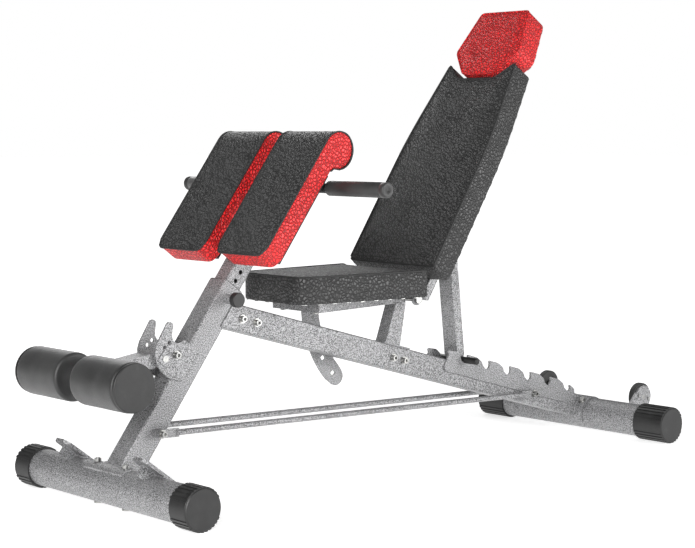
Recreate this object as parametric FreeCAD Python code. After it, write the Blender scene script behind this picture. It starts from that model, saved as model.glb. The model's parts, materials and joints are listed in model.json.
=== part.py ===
import FreeCAD, Part
import math
import os

# Roman chair with an adjustable bench. Sizes are in millimetres.
# +X runs to the rear, -Y is the side of the pull pin, +Z is up, the floor is Z = 0.
# The side drawing is laid out from the axis of the front stabiliser (X = 0).
V = FreeCAD.Vector

# stabilisers
CAP_R = 39.6
FRONT_CAP_LENGTH = 48.0
REAR_CAP_LENGTH = 78.0
CAP_WALL = 3.0
CAP_RIBS = 30
RIB_DEPTH = 1.4
SMOOTH_BAND = 0.35
TUBE_R = 35.0
TUBE_WALL = 2.5
STABILISER_WIDTH = 549.0
WHEELBASE = 1273.3
SADDLE_BOLT_Y = 45.0
REAR_SADDLE_HALF = 50.0
REAR_BOLT_Y = 40.0
REAR_BOLT_LEAN = 38.0
SADDLE_WALL = 3.0
SADDLE_HALF = 62.0
SADDLE_HOLE_R = 4.3
M8_R = 4.0
M8_HOLE_R = 4.2
FIT = 0.05
RUNNING_FIT = 0.08

# foot plates on the front stabiliser
TREAD_SLOPE = -37.0
TREAD_Y0 = -148.0
TREAD_Y1 = -103.0
TREAD_LENGTH = 84.0
TREAD_REAR = 18.0
TREAD_THICK = 6.0
TREAD_CORNER = 11.0

# front post and the post that slides in it
POST_ANGLE = 53.5
POST_X = 6.0
POST_SIZE = 50.0
POST_WALL = 2.5
POST_TOP = 432.0
INNER_SIZE = 40.0
INNER_WALL = 2.0
INNER_START = 262.0
INNER_END = 684.0
HOLE_PITCH = 20.0
HOLE_R = 4.6
PIN_R = 4.5
PIN_STATION = 404.0
HOLES_BELOW = 6
HOLES_ABOVE = 4
BUSH_LENGTH = 60.0
BUSH_LIP = 2.0
BUSH_PLAY = 0.3
BOSS_R = 9.0
BOSS_LENGTH = 22.0
HOOK_WALL = 4.0
STOP_X = 124.0
STOP_Z = 269.0

# sloping beam
BEAM_ANGLE = -15.4
BEAM_X = 250.0
BEAM_Z = 332.7
BEAM_WIDTH = 56.0
BEAM_HEIGHT = 50.0
BEAM_WALL = 2.5
BEAM_SPLIT = 415.0
BEAM_END = 1042.0
BEAM_BOLTS = (30.0, 66.0)
JOINT_BOLTS = (436.0, 467.0)
COUPLER_PLAY = 1.0
STUB_LENGTH = 100.0

# ladder on the rear beam
SLOT_COUNT = 6
SLOT_PITCH = 68.5
SLOT_STATION = 642.0
LADDER_PLATE = 4.0
ROD_R = 7.0
ROD_LIFT = 1.2
ROD_HALF = 68.0
TOOTH_HEIGHT = 20.0

# tie rods
TIE_FRONT = (80.6, 129.7)
TIE_REAR = (1082.0, 103.0)
TIE_Y = 42.0
TIE_R = 5.7
TIE_TAB = 38.0
TIE_TAB_HALF = 2.5
TIE_TAB_R = 8.0
SPACER_R = 8.0

# seat and backrest
HINGE_X = 704.0
HINGE_Z = 337.0
HINGE_R = 5.0
SEAT_BOTTOM = 348.0
SEAT_THICK = 58.0
SEAT_FRONT = 368.0
SEAT_REAR = 680.0
SEAT_SCREW_X = 444.0
SEAT_CORNER = 36.0
SEAT_FRONT_HALF = 97.0
SEAT_REAR_HALF = 124.0
SEAT_BAR_X = 434.0
SEAT_BAR_HALF = 71.0
SEAT_PIN_STATION = 270.0
SEAT_RADIUS = 18.0
BOARD_THICK = 9.0
SUPPORT_HALF = 15.5
SUPPORT_WALL = 3.0
ARC_GAP = 0.8
ARC_WALL = 4.0
ARC_HALF = 21.0
ARC_STEP = 11.7
BACK_ANGLE = 56.9
BACK_X = 681.3
BACK_Z = 409.1
BACK_THICK = 60.0
BACK_LENGTH = 500.0
BACK_RADIUS = 20.0
HEAD_LOW = 470.0
HEAD_WIDEST = 527.0
HEAD_TOP = 632.0
RAIL_SIZE = 20.0
RAIL_Y = 62.0
STRUT_STATION = 185.0
STRUT_DEPTH = 70.0
STRUT_BAR_R = 6.0
STRUT_TUBE_DEPTH = 22.0
STRUT_TUBE_HALF = 19.0
SLEEVE_R = 9.4
COLLAR_WIDTH = 5.0

# thigh pads, handlebar and ankle rollers
PAD_BOTTOM = 460.0
PAD_ROLL = 720.0
PAD_FACE = 77.6
PAD_THICK = 45.0
PAD_ROLL_R = 36.0
PAD_INNER_Y = 20.0
PAD_OUTER_Y = 166.0
BAR_STATION = 662.0
BAR_R = 10.0
BAR_HALF = 302.0
BAR_INSET = 4.0
CROSSBAR_HALF = 140.0
CROSSBAR_WIDTH = 40.0
CROSSBAR_WALL = 5.0
CROSSBAR_STATIONS = (500.0, 620.0)
GRIP_R = 14.5
GRIP_LENGTH = 160.0
ARM_X = 98.8
ARM_Z = 264.1
ARM_ANGLE = 188.7
ARM_REACH = 159.4
ROLLER_R = 45.0
ROLLER_HALF = 160.7
AXLE_R = 12.5
AXLE_WALL = 2.0
ARM_HALF_WIDTH = 20.0
ARM_HALF_DEPTH = 14.0
ARM_WALL = 2.5
PIVOT_R = 6.5

# transport wheels
WHEEL_X = 1331.0
WHEEL_Z = 82.0
WHEEL_R = 31.0
WHEEL_Y = 138.0
WHEEL_THICK = 14.0
WHEEL_BORE = 5.08
WHEEL_BOLT_R = 5.0
WHEEL_PLATE = 4.0
WHEEL_GAP = 0.6

# the row's origin is under the middle of the bounding box
FRONT_REACH = ARM_X + ARM_REACH * math.cos(math.radians(ARM_ANGLE)) - ROLLER_R
REAR_REACH = WHEEL_X + WHEEL_R
ORIGIN_X = (FRONT_REACH + REAR_REACH) / 2.0


# ---------------------------------------------------------------- helpers

def box(x0, x1, y0, y1, z0, z1):
    return Part.makeBox(x1 - x0, y1 - y0, z1 - z0, V(x0, y0, z0))


def rod(radius, x, z, y0, y1):
    """Round bar along Y."""
    return Part.makeCylinder(radius, y1 - y0, V(x, y0, z), V(0, 1, 0))


def upright(radius, x, y, z0, z1):
    """Round bar along Z."""
    return Part.makeCylinder(radius, z1 - z0, V(x, y, z0), V(0, 0, 1))


def tube(x0, x1, width, height, wall):
    """Rectangular tube along X, centred on the X axis."""
    outer = box(x0, x1, -width / 2.0, width / 2.0, -height / 2.0, height / 2.0)
    outer = outer.makeFillet(min(4.0, height / 8.0), [e for e in outer.Edges if along_x(e)])
    side = width / 2.0 - wall
    half = height / 2.0 - wall
    inner = box(x0 - 1, x1 + 1, -side, side, -half, half)
    return outer.cut(inner)


def along_x(edge):
    a = edge.Vertexes[0].Point
    b = edge.Vertexes[-1].Point
    return abs(a.y - b.y) < 1e-6 and abs(a.z - b.z) < 1e-6


def at(edge, axis, value):
    """True when the whole edge lies at this value of X, Y or Z."""
    low = getattr(edge.BoundBox, axis + "Min")
    high = getattr(edge.BoundBox, axis + "Max")
    return abs(low - value) < 0.01 and abs(high - value) < 0.01


def plate(points, y0, y1):
    """Plate with an outline in the XZ plane."""
    wire = Part.makePolygon([V(x, y0, z) for x, z in points + points[:1]])
    return Part.Face(wire).extrude(V(0, y1 - y0, 0))


def slab(points, z0, z1):
    """Slab with an outline in the XY plane."""
    wire = Part.makePolygon([V(x, y, z0) for x, y in points + points[:1]])
    return Part.Face(wire).extrude(V(0, 0, z1 - z0))


def arc(cx, cz, radius, start, end, count):
    """Points of an arc, angles in degrees."""
    out = []
    for i in range(count + 1):
        a = math.radians(start + (end - start) * i / count)
        out.append((cx + radius * math.cos(a), cz + radius * math.sin(a)))
    return out


def place(shape, x, z, angle):
    """Turns a shape drawn along X upwards by angle and moves it to x, z."""
    shape = shape.copy()
    shape.rotate(V(0, 0, 0), V(0, 1, 0), -angle)
    shape.translate(V(x, 0, z))
    return shape


def on_post(shape):
    return place(shape, POST_X, CAP_R, POST_ANGLE)


def pin_point():
    """Axis of the height pin in the side drawing."""
    return to_side(PIN_STATION, 0, POST_X, CAP_R, POST_ANGLE)


def bar_point():
    """Axis of the handlebar in the side drawing."""
    return to_side(BAR_STATION, 0, POST_X, CAP_R, POST_ANGLE)


def on_beam(shape):
    return place(shape, BEAM_X, BEAM_Z, BEAM_ANGLE)


def on_back(shape):
    """Drawn with X up the backrest from its lower edge, +Z out of its front face."""
    return place(shape, BACK_X, BACK_Z, BACK_ANGLE)


def to_side(x, z, ox, oz, angle):
    """A point of a turned frame in the side drawing."""
    a = math.radians(angle)
    return (ox + x * math.cos(a) - z * math.sin(a), oz + x * math.sin(a) + z * math.cos(a))


def from_side(x, z, ox, oz, angle):
    """A point of the side drawing in a turned frame."""
    a = math.radians(angle)
    dx = x - ox
    dz = z - oz
    return (dx * math.cos(a) + dz * math.sin(a), -dx * math.sin(a) + dz * math.cos(a))


def mirror(shape):
    return shape.mirror(V(0, 0, 0), V(0, 1, 0))


def both(shape):
    """A piece and its mirror image on the other side."""
    return Part.makeCompound([shape, mirror(shape)])


def bolt(x, z, y_head, y_nut, shank=4.0):
    """Socket bolt along Y with washers and a nut; its head is at y_head."""
    sign = 1.0 if y_nut > y_head else -1.0
    parts = [rod(shank, x, z, min(y_head, y_nut), max(y_head, y_nut))]
    parts.append(disc(x, z, y_head, -sign, shank * 2.1, 1.6))
    parts.append(disc(x, z, y_head - sign * 1.6, -sign, shank * 1.5, shank * 1.8))
    parts.append(disc(x, z, y_nut, sign, shank * 2.1, 1.6))
    parts.append(hexagon(x, z, y_nut + sign * 1.6, sign, shank * 1.6, shank * 1.5))
    solid = parts[0].multiFuse(parts[1:])
    socket = hexagon(x, z, y_head - sign * (1.6 + shank * 0.8), -sign, shank * 0.75, shank * 1.2)
    return solid.cut(socket).removeSplitter()


def disc(x, z, y, sign, radius, thick):
    return Part.makeCylinder(radius, thick, V(x, y, z), V(0, sign, 0))


def hexagon(x, z, y, sign, half_flats, thick):
    corner = half_flats / math.cos(math.radians(30))
    points = [V(x + p[0], y, z + p[1]) for p in arc(0, 0, corner, 0, 300, 5)]
    return Part.Face(Part.makePolygon(points + points[:1])).extrude(V(0, sign * thick, 0))


# ---------------------------------------------------------------- stabilisers

def stabiliser(x):
    """Round cross tube; its ends are closed by the caps."""
    half = STABILISER_WIDTH / 2.0 - CAP_WALL
    outer = rod(TUBE_R, x, CAP_R, -half, half)
    return outer.cut(rod(TUBE_R - TUBE_WALL, x, CAP_R, -half - 1, half + 1))


def front_stabiliser():
    """Front cross tube, drilled for the two saddle bolts."""
    holes = [upright(SADDLE_HOLE_R, 0.0, y, 0.0, 90.0) for y in (-SADDLE_BOLT_Y, SADDLE_BOLT_Y)]
    return stabiliser(0.0).cut(Part.makeCompound(holes))


def cap(x, length):
    """Plastic cap over the near end of a stabiliser, ribbed above and below."""
    end = -STABILISER_WIDTH / 2.0
    body = rod(CAP_R - RIB_DEPTH, x, CAP_R, end + 1.5, end + length)
    step = 360.0 / CAP_RIBS
    half = step * 0.3
    crest = CAP_R / math.cos(math.radians(half))
    ribs = []
    for i in range(CAP_RIBS):
        middle = 270.0 + i * step
        if abs(math.sin(math.radians(middle))) > SMOOTH_BAND:
            ring = arc(x, CAP_R, crest, middle - half, middle + half, 1)
            root = arc(x, CAP_R, CAP_R - RIB_DEPTH - 1.5, middle + half, middle - half, 1)
            ribs.append(plate(ring + root, end + 1.5, end + length))
    face = Part.makeCone(CAP_R - 4.0, CAP_R - 1.0, CAP_WALL, V(x, end, CAP_R), V(0, 1, 0))
    body = body.multiFuse(ribs + [face])
    return body.cut(rod(TUBE_R + FIT, x, CAP_R, end + CAP_WALL, end + length + 1)).removeSplitter()


def foot_plate():
    """Sloping tread welded against the top of the front stabiliser."""
    front = TREAD_REAR - TREAD_LENGTH
    tread = box(front, TREAD_REAR, TREAD_Y0, TREAD_Y1, 0.0, TREAD_THICK)
    corners = []
    for y, side in ((TREAD_Y0, 1), (TREAD_Y1, -1)):
        cut = [(front - 1, y), (front + TREAD_CORNER - 1, y), (front - 1, y + side * TREAD_CORNER)]
        corners.append(slab(cut, -1, TREAD_THICK + 1))
    tread = tread.cut(Part.makeCompound(corners))
    web = box(-52.0, -12.0, -128.0, -123.0, -22.0, 0.0)
    a = math.radians(90.0 + TREAD_SLOPE)
    foot = place(tread.fuse(web), TUBE_R * math.cos(a), CAP_R + TUBE_R * math.sin(a), TREAD_SLOPE)
    return foot.cut(rod(TUBE_R, 0, CAP_R, -200, 0)).removeSplitter()


def stabiliser_bolt(y):
    """Bolt up through the front stabiliser and the saddle strap, with its nut on top."""
    low = CAP_R - TUBE_R
    high = CAP_R + TUBE_R + SADDLE_WALL
    shank = upright(M8_R, 0.0, y, low - 1.0, high + 7.0)
    head = upright(8.0, 0.0, y, low - 3.4, low - 0.4)
    nut = upright(6.5, 0.0, y, high + 0.2, high + 5.5)
    return shank.multiFuse([head, nut]).removeSplitter()


# ---------------------------------------------------------------- post and hook plates

def post_saddle():
    """Saddle strap that carries the bolts between the post and the front stabiliser."""
    strap = rod(TUBE_R + SADDLE_WALL, 0, CAP_R, -SADDLE_HALF, SADDLE_HALF)
    strap = strap.cut(rod(TUBE_R + FIT, 0, CAP_R, -SADDLE_HALF - 1, SADDLE_HALF + 1))
    window = box(-22.0, 30.0, -SADDLE_HALF - 1, SADDLE_HALF + 1, CAP_R, CAP_R + TUBE_R + 10)
    strap = strap.common(window)
    holes = [upright(SADDLE_HOLE_R, 0.0, y, CAP_R, CAP_R + 50.0) for y in (-SADDLE_BOLT_Y, SADDLE_BOLT_Y)]
    return strap.cut(Part.makeCompound(holes))


def front_post():
    """Square tube welded at a slope onto the saddle."""
    body = tube(0.0, POST_TOP, POST_SIZE, POST_SIZE, POST_WALL)
    body = on_post(body)
    body = body.cut(rod(TUBE_R + SADDLE_WALL + FIT, 0, CAP_R, -100, 100))
    below = box(-100, 200, -100, 100, -50, CAP_R)
    body = body.cut(below)
    x, z = pin_point()
    tie = rod(M8_HOLE_R, *TIE_FRONT, -100, 100)
    return body.cut(rod(HOLE_R, x, z, -100, 0)).cut(tie)


def post_bush():
    """Plastic guide in the mouth of the post."""
    half = POST_SIZE / 2 - POST_WALL
    sleeve = box(POST_TOP - BUSH_LENGTH, POST_TOP + BUSH_LIP, -half, half, -half, half)
    hole = INNER_SIZE / 2.0 + BUSH_PLAY
    sleeve = sleeve.cut(box(POST_TOP - BUSH_LENGTH - 1, POST_TOP + BUSH_LIP + 1, -hole, hole, -hole, hole))
    sleeve = on_post(sleeve)
    x, z = pin_point()
    return sleeve.cut(rod(HOLE_R, x, z, -100, 0))


def pin_boss():
    """Threaded boss welded on the post; the pull pin runs in it."""
    x, z = pin_point()
    outer = rod(BOSS_R, x, z, -POST_SIZE / 2 - BOSS_LENGTH, -POST_SIZE / 2)
    return outer.cut(rod(HOLE_R, x, z, -100, 0))


def hook_plate():
    """Near plate that carries the roller arm, with an upright finger in front of the post."""
    outline = [(105.0, 229.0), (92.0, 240.0), (82.5, 254.0), (78.0, 268.0), (77.5, 280.0), (81.5, 292.5)]
    outline += [(103.5, 327.0)]
    outline += arc(110.5, 323.5, 8.0, 150.0, -30.0, 6)
    outline += arc(130.5, 305.0, 15.0, 172.0, 322.0, 8)
    low = to_side(215.0, 22.0, POST_X, CAP_R, POST_ANGLE)
    outline.append(to_side(288.0, 26.0, POST_X, CAP_R, POST_ANGLE))
    outline.append(to_side(288.0, 0.0, POST_X, CAP_R, POST_ANGLE))
    outline += [to_side(222.0, 0.0, POST_X, CAP_R, POST_ANGLE), low]
    y = -POST_SIZE / 2
    sheet = plate(outline, y - HOOK_WALL, y)
    holes = [rod(4.0, 109.0, 293.0, y - 5, y + 1), rod(4.0, 98.5, 285.0, y - 5, y + 1)]
    holes.append(rod(PIVOT_R + 0.1, ARM_X, ARM_Z, y - 5, y + 1))
    holes.append(rod(M8_HOLE_R, STOP_X, STOP_Z, y - 5, y + 1))
    return sheet.cut(Part.makeCompound(holes))


def stop_bolt():
    """Cross bolt between the hook plates, behind the roller arm's eye."""
    outside = POST_SIZE / 2 + HOOK_WALL
    return bolt(STOP_X, STOP_Z, -outside, outside)


# ---------------------------------------------------------------- beam, ladder and tie rods

def front_beam():
    """Front length of the sloping beam; its side walls lap over the post."""
    body = on_beam(tube(-60.0, BEAM_SPLIT, BEAM_WIDTH, BEAM_HEIGHT, BEAM_WALL))
    side = on_post(box(-100, 700, -200, 200, -POST_SIZE / 2 + 9.0, 300))
    core = on_post(box(-100, 700, -POST_SIZE / 2 - 0.5, POST_SIZE / 2 + 0.5, -POST_SIZE / 2, 300))
    body = body.cut(side).cut(core)
    holes = [on_beam(rod(M8_HOLE_R, s, 0, -50, 50)) for s in BEAM_BOLTS]
    holes.append(rod(HOLE_R, *seat_pin_point(), 0, 50))
    return body.cut(Part.makeCompound(holes))


def beam_stub():
    """Tongue welded on the post; the beam slips over it."""
    width = BEAM_WIDTH - 2 * BEAM_WALL - COUPLER_PLAY
    height = BEAM_HEIGHT - 2 * BEAM_WALL - COUPLER_PLAY
    body = on_beam(tube(-40.0, STUB_LENGTH, width, height, BEAM_WALL))
    body = body.cut(on_post(box(-100, 700, -200, 200, -POST_SIZE / 2, 300)))
    holes = [on_beam(rod(M8_HOLE_R, s, 0, -50, 50)) for s in BEAM_BOLTS]
    return body.cut(Part.makeCompound(holes))


def beam_bolt(station):
    x, z = to_side(station, 0, BEAM_X, BEAM_Z, BEAM_ANGLE)
    return bolt(x, z, -BEAM_WIDTH / 2, BEAM_WIDTH / 2)


def beam_coupler():
    """Inner tube that joins the two lengths of the beam."""
    width = BEAM_WIDTH - 2 * BEAM_WALL - COUPLER_PLAY
    height = BEAM_HEIGHT - 2 * BEAM_WALL - COUPLER_PLAY
    body = tube(BEAM_SPLIT - 60.0, BEAM_SPLIT + 80.0, width, height, BEAM_WALL)
    holes = [rod(M8_HOLE_R, s, 0, -50, 50) for s in JOINT_BOLTS]
    return on_beam(body.cut(Part.makeCompound(holes)))


def rear_beam():
    """Rear length of the beam, down to the saddle on the rear stabiliser."""
    body = on_beam(tube(BEAM_SPLIT + 0.5, BEAM_END, BEAM_WIDTH, BEAM_HEIGHT, BEAM_WALL))
    holes = [on_beam(rod(M8_HOLE_R, s, 0, -50, 50)) for s in JOINT_BOLTS]
    holes.append(rod(M8_HOLE_R, *TIE_REAR, -50, 50))
    body = body.cut(rod(TUBE_R + SADDLE_WALL + FIT, WHEELBASE, CAP_R, -50, 50))
    body = body.cut(box(WHEELBASE, 1500, -50, 50, -20, 200))
    return body.cut(Part.makeCompound(holes))


def slot_point(index):
    """Axis of the strut's rod in a ladder slot."""
    z = BEAM_HEIGHT / 2 + ROD_LIFT + ROD_R
    return to_side(SLOT_STATION + index * SLOT_PITCH, z, BEAM_X, BEAM_Z, BEAM_ANGLE)


def ladder_plate():
    """Near toothed plate; the nose of each tooth leans over the slot in front of it."""
    floor = BEAM_HEIGHT / 2 + ROD_LIFT - 0.6
    gap = ROD_R + 0.8
    top = floor + TOOTH_HEIGHT
    start = SLOT_STATION - 58.0
    end = SLOT_STATION + (SLOT_COUNT - 1) * SLOT_PITCH
    outline = [(start + 5.0, 0.0), (start, 8.5), (start + 6.0, 34.5), (start + 2.0, 41.0)]
    outline += [(start + 6.0, 44.0), (start + 25.5, top)]
    for i in range(SLOT_COUNT):
        s = SLOT_STATION + i * SLOT_PITCH
        last = i == SLOT_COUNT - 1
        height = top - 6.0 if last else top
        outline += [(s - 20.0, top - 5.6), (s - 15.0, top - 10.0), (s - 11.7, floor + 4.8)]
        outline += arc(s, floor + gap, gap, 225.0, 360.0, 8)
        outline += [(s + 7.2, height - 6.5), (s + 4.6, height - 2.0), (s + 6.5, height)]
        if not last:
            outline += [(s + 32.0, height)]
    outline += [(end + 23.0, floor + 8.0), (end + 28.0, floor - 6.0), (end + 9.0, -1.5)]
    y = -BEAM_WIDTH / 2
    sheet = on_beam(plate(outline, y - LADDER_PLATE, y))
    return sheet.cut(rod(SPACER_R + 0.1, *TIE_REAR, -100, 0))


def rear_saddle():
    """Strap over the rear stabiliser; the beam is welded to its front."""
    ring = rod(TUBE_R + SADDLE_WALL, WHEELBASE, CAP_R, -REAR_SADDLE_HALF, REAR_SADDLE_HALF)
    ring = ring.cut(rod(TUBE_R + FIT, WHEELBASE, CAP_R, -REAR_SADDLE_HALF - 1, REAR_SADDLE_HALF + 1))
    ring = ring.cut(box(WHEELBASE - 80, WHEELBASE + 80, -60, 60, -20, CAP_R - 16.0))
    ring = ring.cut(box(WHEELBASE + 24, WHEELBASE + 80, -60, 60, -20, 90))
    return ring.cut(rear_saddle_holes())


def rear_saddle_holes():
    holes = [upright(SADDLE_HOLE_R, 0.0, y, 10.0, 60.0) for y in (-REAR_BOLT_Y, REAR_BOLT_Y)]
    return place(Part.makeCompound(holes), WHEELBASE, CAP_R, REAR_BOLT_LEAN)


def rear_saddle_bolt(y):
    """Hexagon bolt through the strap and the wall of the rear stabiliser."""
    low = TUBE_R + SADDLE_WALL + 0.2
    shank = upright(M8_R, 0.0, y, TUBE_R - 12.0, low + 2.0)
    washer = upright(8.4, 0.0, y, low, low + 1.6)
    head = upright(6.5, 0.0, y, low + 1.6, low + 6.6)
    return place(shank.multiFuse([washer, head]).removeSplitter(), WHEELBASE, CAP_R, REAR_BOLT_LEAN)


def tie_rod():
    """Near tie rod with flattened, drilled ends."""
    x0, z0 = TIE_FRONT
    x1, z1 = TIE_REAR
    angle = math.degrees(math.atan2(z1 - z0, x1 - x0))
    length = math.hypot(x1 - x0, z1 - z0)
    round_start = TIE_TAB - 6.0
    bar = Part.makeCylinder(TIE_R, length - 2 * round_start, V(round_start, 0, 0), V(1, 0, 0))
    parts = [bar]
    for s, t in ((0.0, 1), (length, -1)):
        other = s + t * TIE_TAB
        parts.append(box(min(s, other), max(s, other), -TIE_TAB_HALF, TIE_TAB_HALF, -TIE_TAB_R, TIE_TAB_R))
        parts.append(rod(TIE_TAB_R, s, 0, -TIE_TAB_HALF, TIE_TAB_HALF))
    body = parts[0].multiFuse(parts[1:])
    holes = [rod(M8_HOLE_R, 0, 0, -10, 10), rod(M8_HOLE_R, length, 0, -10, 10)]
    body = place(body.cut(Part.makeCompound(holes)).removeSplitter(), x0, z0, angle)
    body.translate(V(0, -TIE_Y, 0))
    return body


def tie_spacer(point, inside):
    """Round spacer between a frame member and the near tie rod."""
    x, z = point
    return rod(SPACER_R, x, z, -TIE_Y + TIE_TAB_HALF, -inside).cut(rod(M8_HOLE_R, x, z, -100, 0))


def tie_bolt(point):
    return bolt(point[0], point[1], -TIE_Y - TIE_TAB_HALF, TIE_Y + TIE_TAB_HALF)


# ---------------------------------------------------------------- seat support

def rear_support():
    """Folded upright on a base plate; it holds the hinge bolt of seat and backrest."""
    low = BEAM_HEIGHT / 2
    base = on_beam(box(BEAM_SPLIT - 8.0, BEAM_SPLIT + 66.0, -25.0, 25.0, low, low + SUPPORT_WALL))
    foot = to_side(BEAM_SPLIT + 4.0, 26.0, BEAM_X, BEAM_Z, BEAM_ANGLE)
    heel = to_side(BEAM_SPLIT + 46.0, 26.0, BEAM_X, BEAM_Z, BEAM_ANGLE)
    outline = [foot, (HINGE_X - 12.5, HINGE_Z - 6.0)]
    outline += arc(HINGE_X, HINGE_Z, 13.0, 180.0, 0.0, 8)
    outline += [(HINGE_X + 13.0, HINGE_Z - 16.0), heel]
    body = plate(outline, -SUPPORT_HALF, SUPPORT_HALF)
    hollow = [(foot[0] + 3.0, foot[1]), (HINGE_X - 9.5, HINGE_Z - 6.0), (HINGE_X - 9.5, HINGE_Z + 20.0)]
    hollow += [(HINGE_X + 40.0, HINGE_Z + 20.0), (HINGE_X + 40.0, foot[1] - 30.0)]
    hollow += [(foot[0] + 3.0, foot[1] - 30.0)]
    inside = SUPPORT_HALF - SUPPORT_WALL
    body = body.cut(plate(hollow, -inside, inside))
    body = body.fuse(base).cut(on_beam(box(300, 600, -30, 30, -25, BEAM_HEIGHT / 2)))
    return body.cut(rod(HINGE_R + RUNNING_FIT, HINGE_X, HINGE_Z, -50, 50)).removeSplitter()


def hinge_bolt():
    """Long hinge rod that carries the seat frame and both backrest lugs."""
    half = RAIL_Y + 5.0
    shaft = rod(HINGE_R, HINGE_X, HINGE_Z, -half, half)
    heads = [disc(HINGE_X, HINGE_Z, s * half, s, 8.0, 3.0) for s in (-1, 1)]
    return shaft.multiFuse(heads)


def seat_pin_point():
    """Axis of the seat catch, on the middle of the beam."""
    return to_side(SEAT_PIN_STATION, 0.0, BEAM_X, BEAM_Z, BEAM_ANGLE)


def seat_frame():
    """Crossbar and two converging rails under the seat, with hinge lugs."""
    top = SEAT_BOTTOM
    low = top - RAIL_SIZE
    outer = -SEAT_BAR_HALF
    bar = box(SEAT_BAR_X, SEAT_BAR_X + RAIL_SIZE, outer, -outer, low, top)
    rail_start = SEAT_BAR_X + 14.0
    rail = slab([(rail_start, outer), (rail_start, outer + 12.0), (676.0, -16.6), (676.0, -28.6)], low, top)
    lug = plate([(660.0, top), (660.0, low), (HINGE_X, HINGE_Z - 11.0)]
                + arc(HINGE_X, HINGE_Z, 11.0, -90.0, 90.0, 6), -20.6, -16.6)
    lug = lug.cut(rod(HINGE_R + RUNNING_FIT, HINGE_X, HINGE_Z, -50, 50))
    plate_side = BEAM_WIDTH / 2 + ARC_GAP
    arm = box(SEAT_BAR_X + RAIL_SIZE, 520.0, BEAM_WIDTH / 2 - 5.0, plate_side, top - 18.0, top)
    body = bar.multiFuse([rail, mirror(rail), lug, mirror(lug), arm]).removeSplitter()
    return body.cut(seat_screw_holes())


def seat_arc_start():
    """Radius and angle of the seat catch about the hinge."""
    px, pz = seat_pin_point()
    angle = math.degrees(math.atan2(pz - HINGE_Z, px - HINGE_X)) % 360.0
    return math.hypot(px - HINGE_X, pz - HINGE_Z), angle


def seat_arc():
    """Curved plate beside the beam with square holes for the seat's three angles."""
    radius, first = seat_arc_start()
    y0 = BEAM_WIDTH / 2 + ARC_GAP
    y1 = y0 + ARC_WALL
    last = first + 2 * ARC_STEP + 3.0
    outline = arc(HINGE_X, HINGE_Z, radius + ARC_HALF, 182.0, last - 4.0, 12)
    end = arc(HINGE_X, HINGE_Z, radius, last, last, 1)[0]
    outline += arc(end[0], end[1], ARC_HALF * 0.9, last - 10.0, last + 170.0, 8)
    outline += arc(HINGE_X, HINGE_Z, radius - ARC_HALF, last - 4.0, 182.0, 12)
    sheet = plate(outline, y0, y1)
    tab = box(HINGE_X - radius - ARC_HALF, HINGE_X - radius + ARC_HALF + 12, y0, y1, 322.0, SEAT_BOTTOM)
    sheet = sheet.fuse(tab)
    holes = []
    for i in range(3):
        a = first + i * ARC_STEP
        hole = box(radius - 5.0, radius + 5.0, y0 - 1, y1 + 1, -5.0, 5.0)
        holes.append(place(hole, HINGE_X, HINGE_Z, a))
    return sheet.cut(Part.makeCompound(holes)).removeSplitter()


def seat_catch_bracket():
    """Bridge on the far side of the beam; the curved plate runs behind it."""
    x, z = seat_pin_point()
    radius, angle = seat_arc_start()
    y0 = BEAM_WIDTH / 2
    legs = [box(radius + a, radius + b, y0, y0 + 9.0, -8.0, 8.0) for a, b in ((-29.0, -24.0), (24.0, 29.0))]
    bridge = box(radius - 29.0, radius + 29.0, y0 + 6.0, y0 + 9.0, -8.0, 8.0)
    body = place(bridge.multiFuse(legs), HINGE_X, HINGE_Z, angle)
    boss = rod(8.0, x, z, y0 + 6.0, y0 + 24.0)
    return body.fuse(boss).cut(rod(HOLE_R, x, z, y0 + 5, y0 + 30)).removeSplitter()


def seat_catch_pin():
    """Pull knob and pin of the seat catch; drawn just clear of the curved plate."""
    x, z = seat_pin_point()
    y0 = BEAM_WIDTH / 2 + 6.2
    shaft = rod(PIN_R, x, z, y0, y0 + 30.0)
    knob = rod(12.0, x, z, y0 + 24.0, y0 + 42.0)
    return shaft.fuse(knob).removeSplitter()


def seat_outline(inset):
    """Plan of the seat: narrow rounded front, wide rear."""
    f = SEAT_FRONT + inset
    r = SEAT_REAR - inset
    front = SEAT_FRONT_HALF - inset
    rear = SEAT_REAR_HALF - inset
    near = []
    for i in range(10):
        a = math.radians(10.0 * i)
        near.append((f + SEAT_CORNER * (1 - math.cos(a)), -front + SEAT_CORNER * (1 - math.sin(a))))
    near += [(r - 8.0, -rear), (r, -rear + 8.0)]
    far = [(x, -y) for x, y in reversed(near)]
    return near + far


def seat_board():
    return slab(seat_outline(6.0), SEAT_BOTTOM, SEAT_BOTTOM + BOARD_THICK).cut(seat_screw_holes())


def seat_pad():
    """Foam cushion wrapped round its board."""
    body = slab(seat_outline(0.0), SEAT_BOTTOM, SEAT_BOTTOM + SEAT_THICK)
    top = SEAT_BOTTOM + SEAT_THICK
    rear_edge = [e for e in body.Edges if at(e, "X", SEAT_REAR) and at(e, "Z", top)]
    body = body.makeFillet(SEAT_RADIUS, rear_edge)
    return body.cut(slab(seat_outline(5.8), SEAT_BOTTOM - 1, SEAT_BOTTOM + BOARD_THICK + 0.2))


def seat_screw(x, y):
    """Screw up through the crossbar into the board."""
    head = upright(6.0, x, y, SEAT_BOTTOM - 23.2, SEAT_BOTTOM - 20.2)
    shank = upright(3.0, x, y, SEAT_BOTTOM - 21.0, SEAT_BOTTOM + 7.0)
    return head.fuse(shank).removeSplitter()


def seat_screw_holes():
    return Part.makeCompound([upright(3.0 + FIT, SEAT_SCREW_X, y, 300.0, 356.0) for y in (-50.0, 50.0)])


# ---------------------------------------------------------------- backrest

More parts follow.
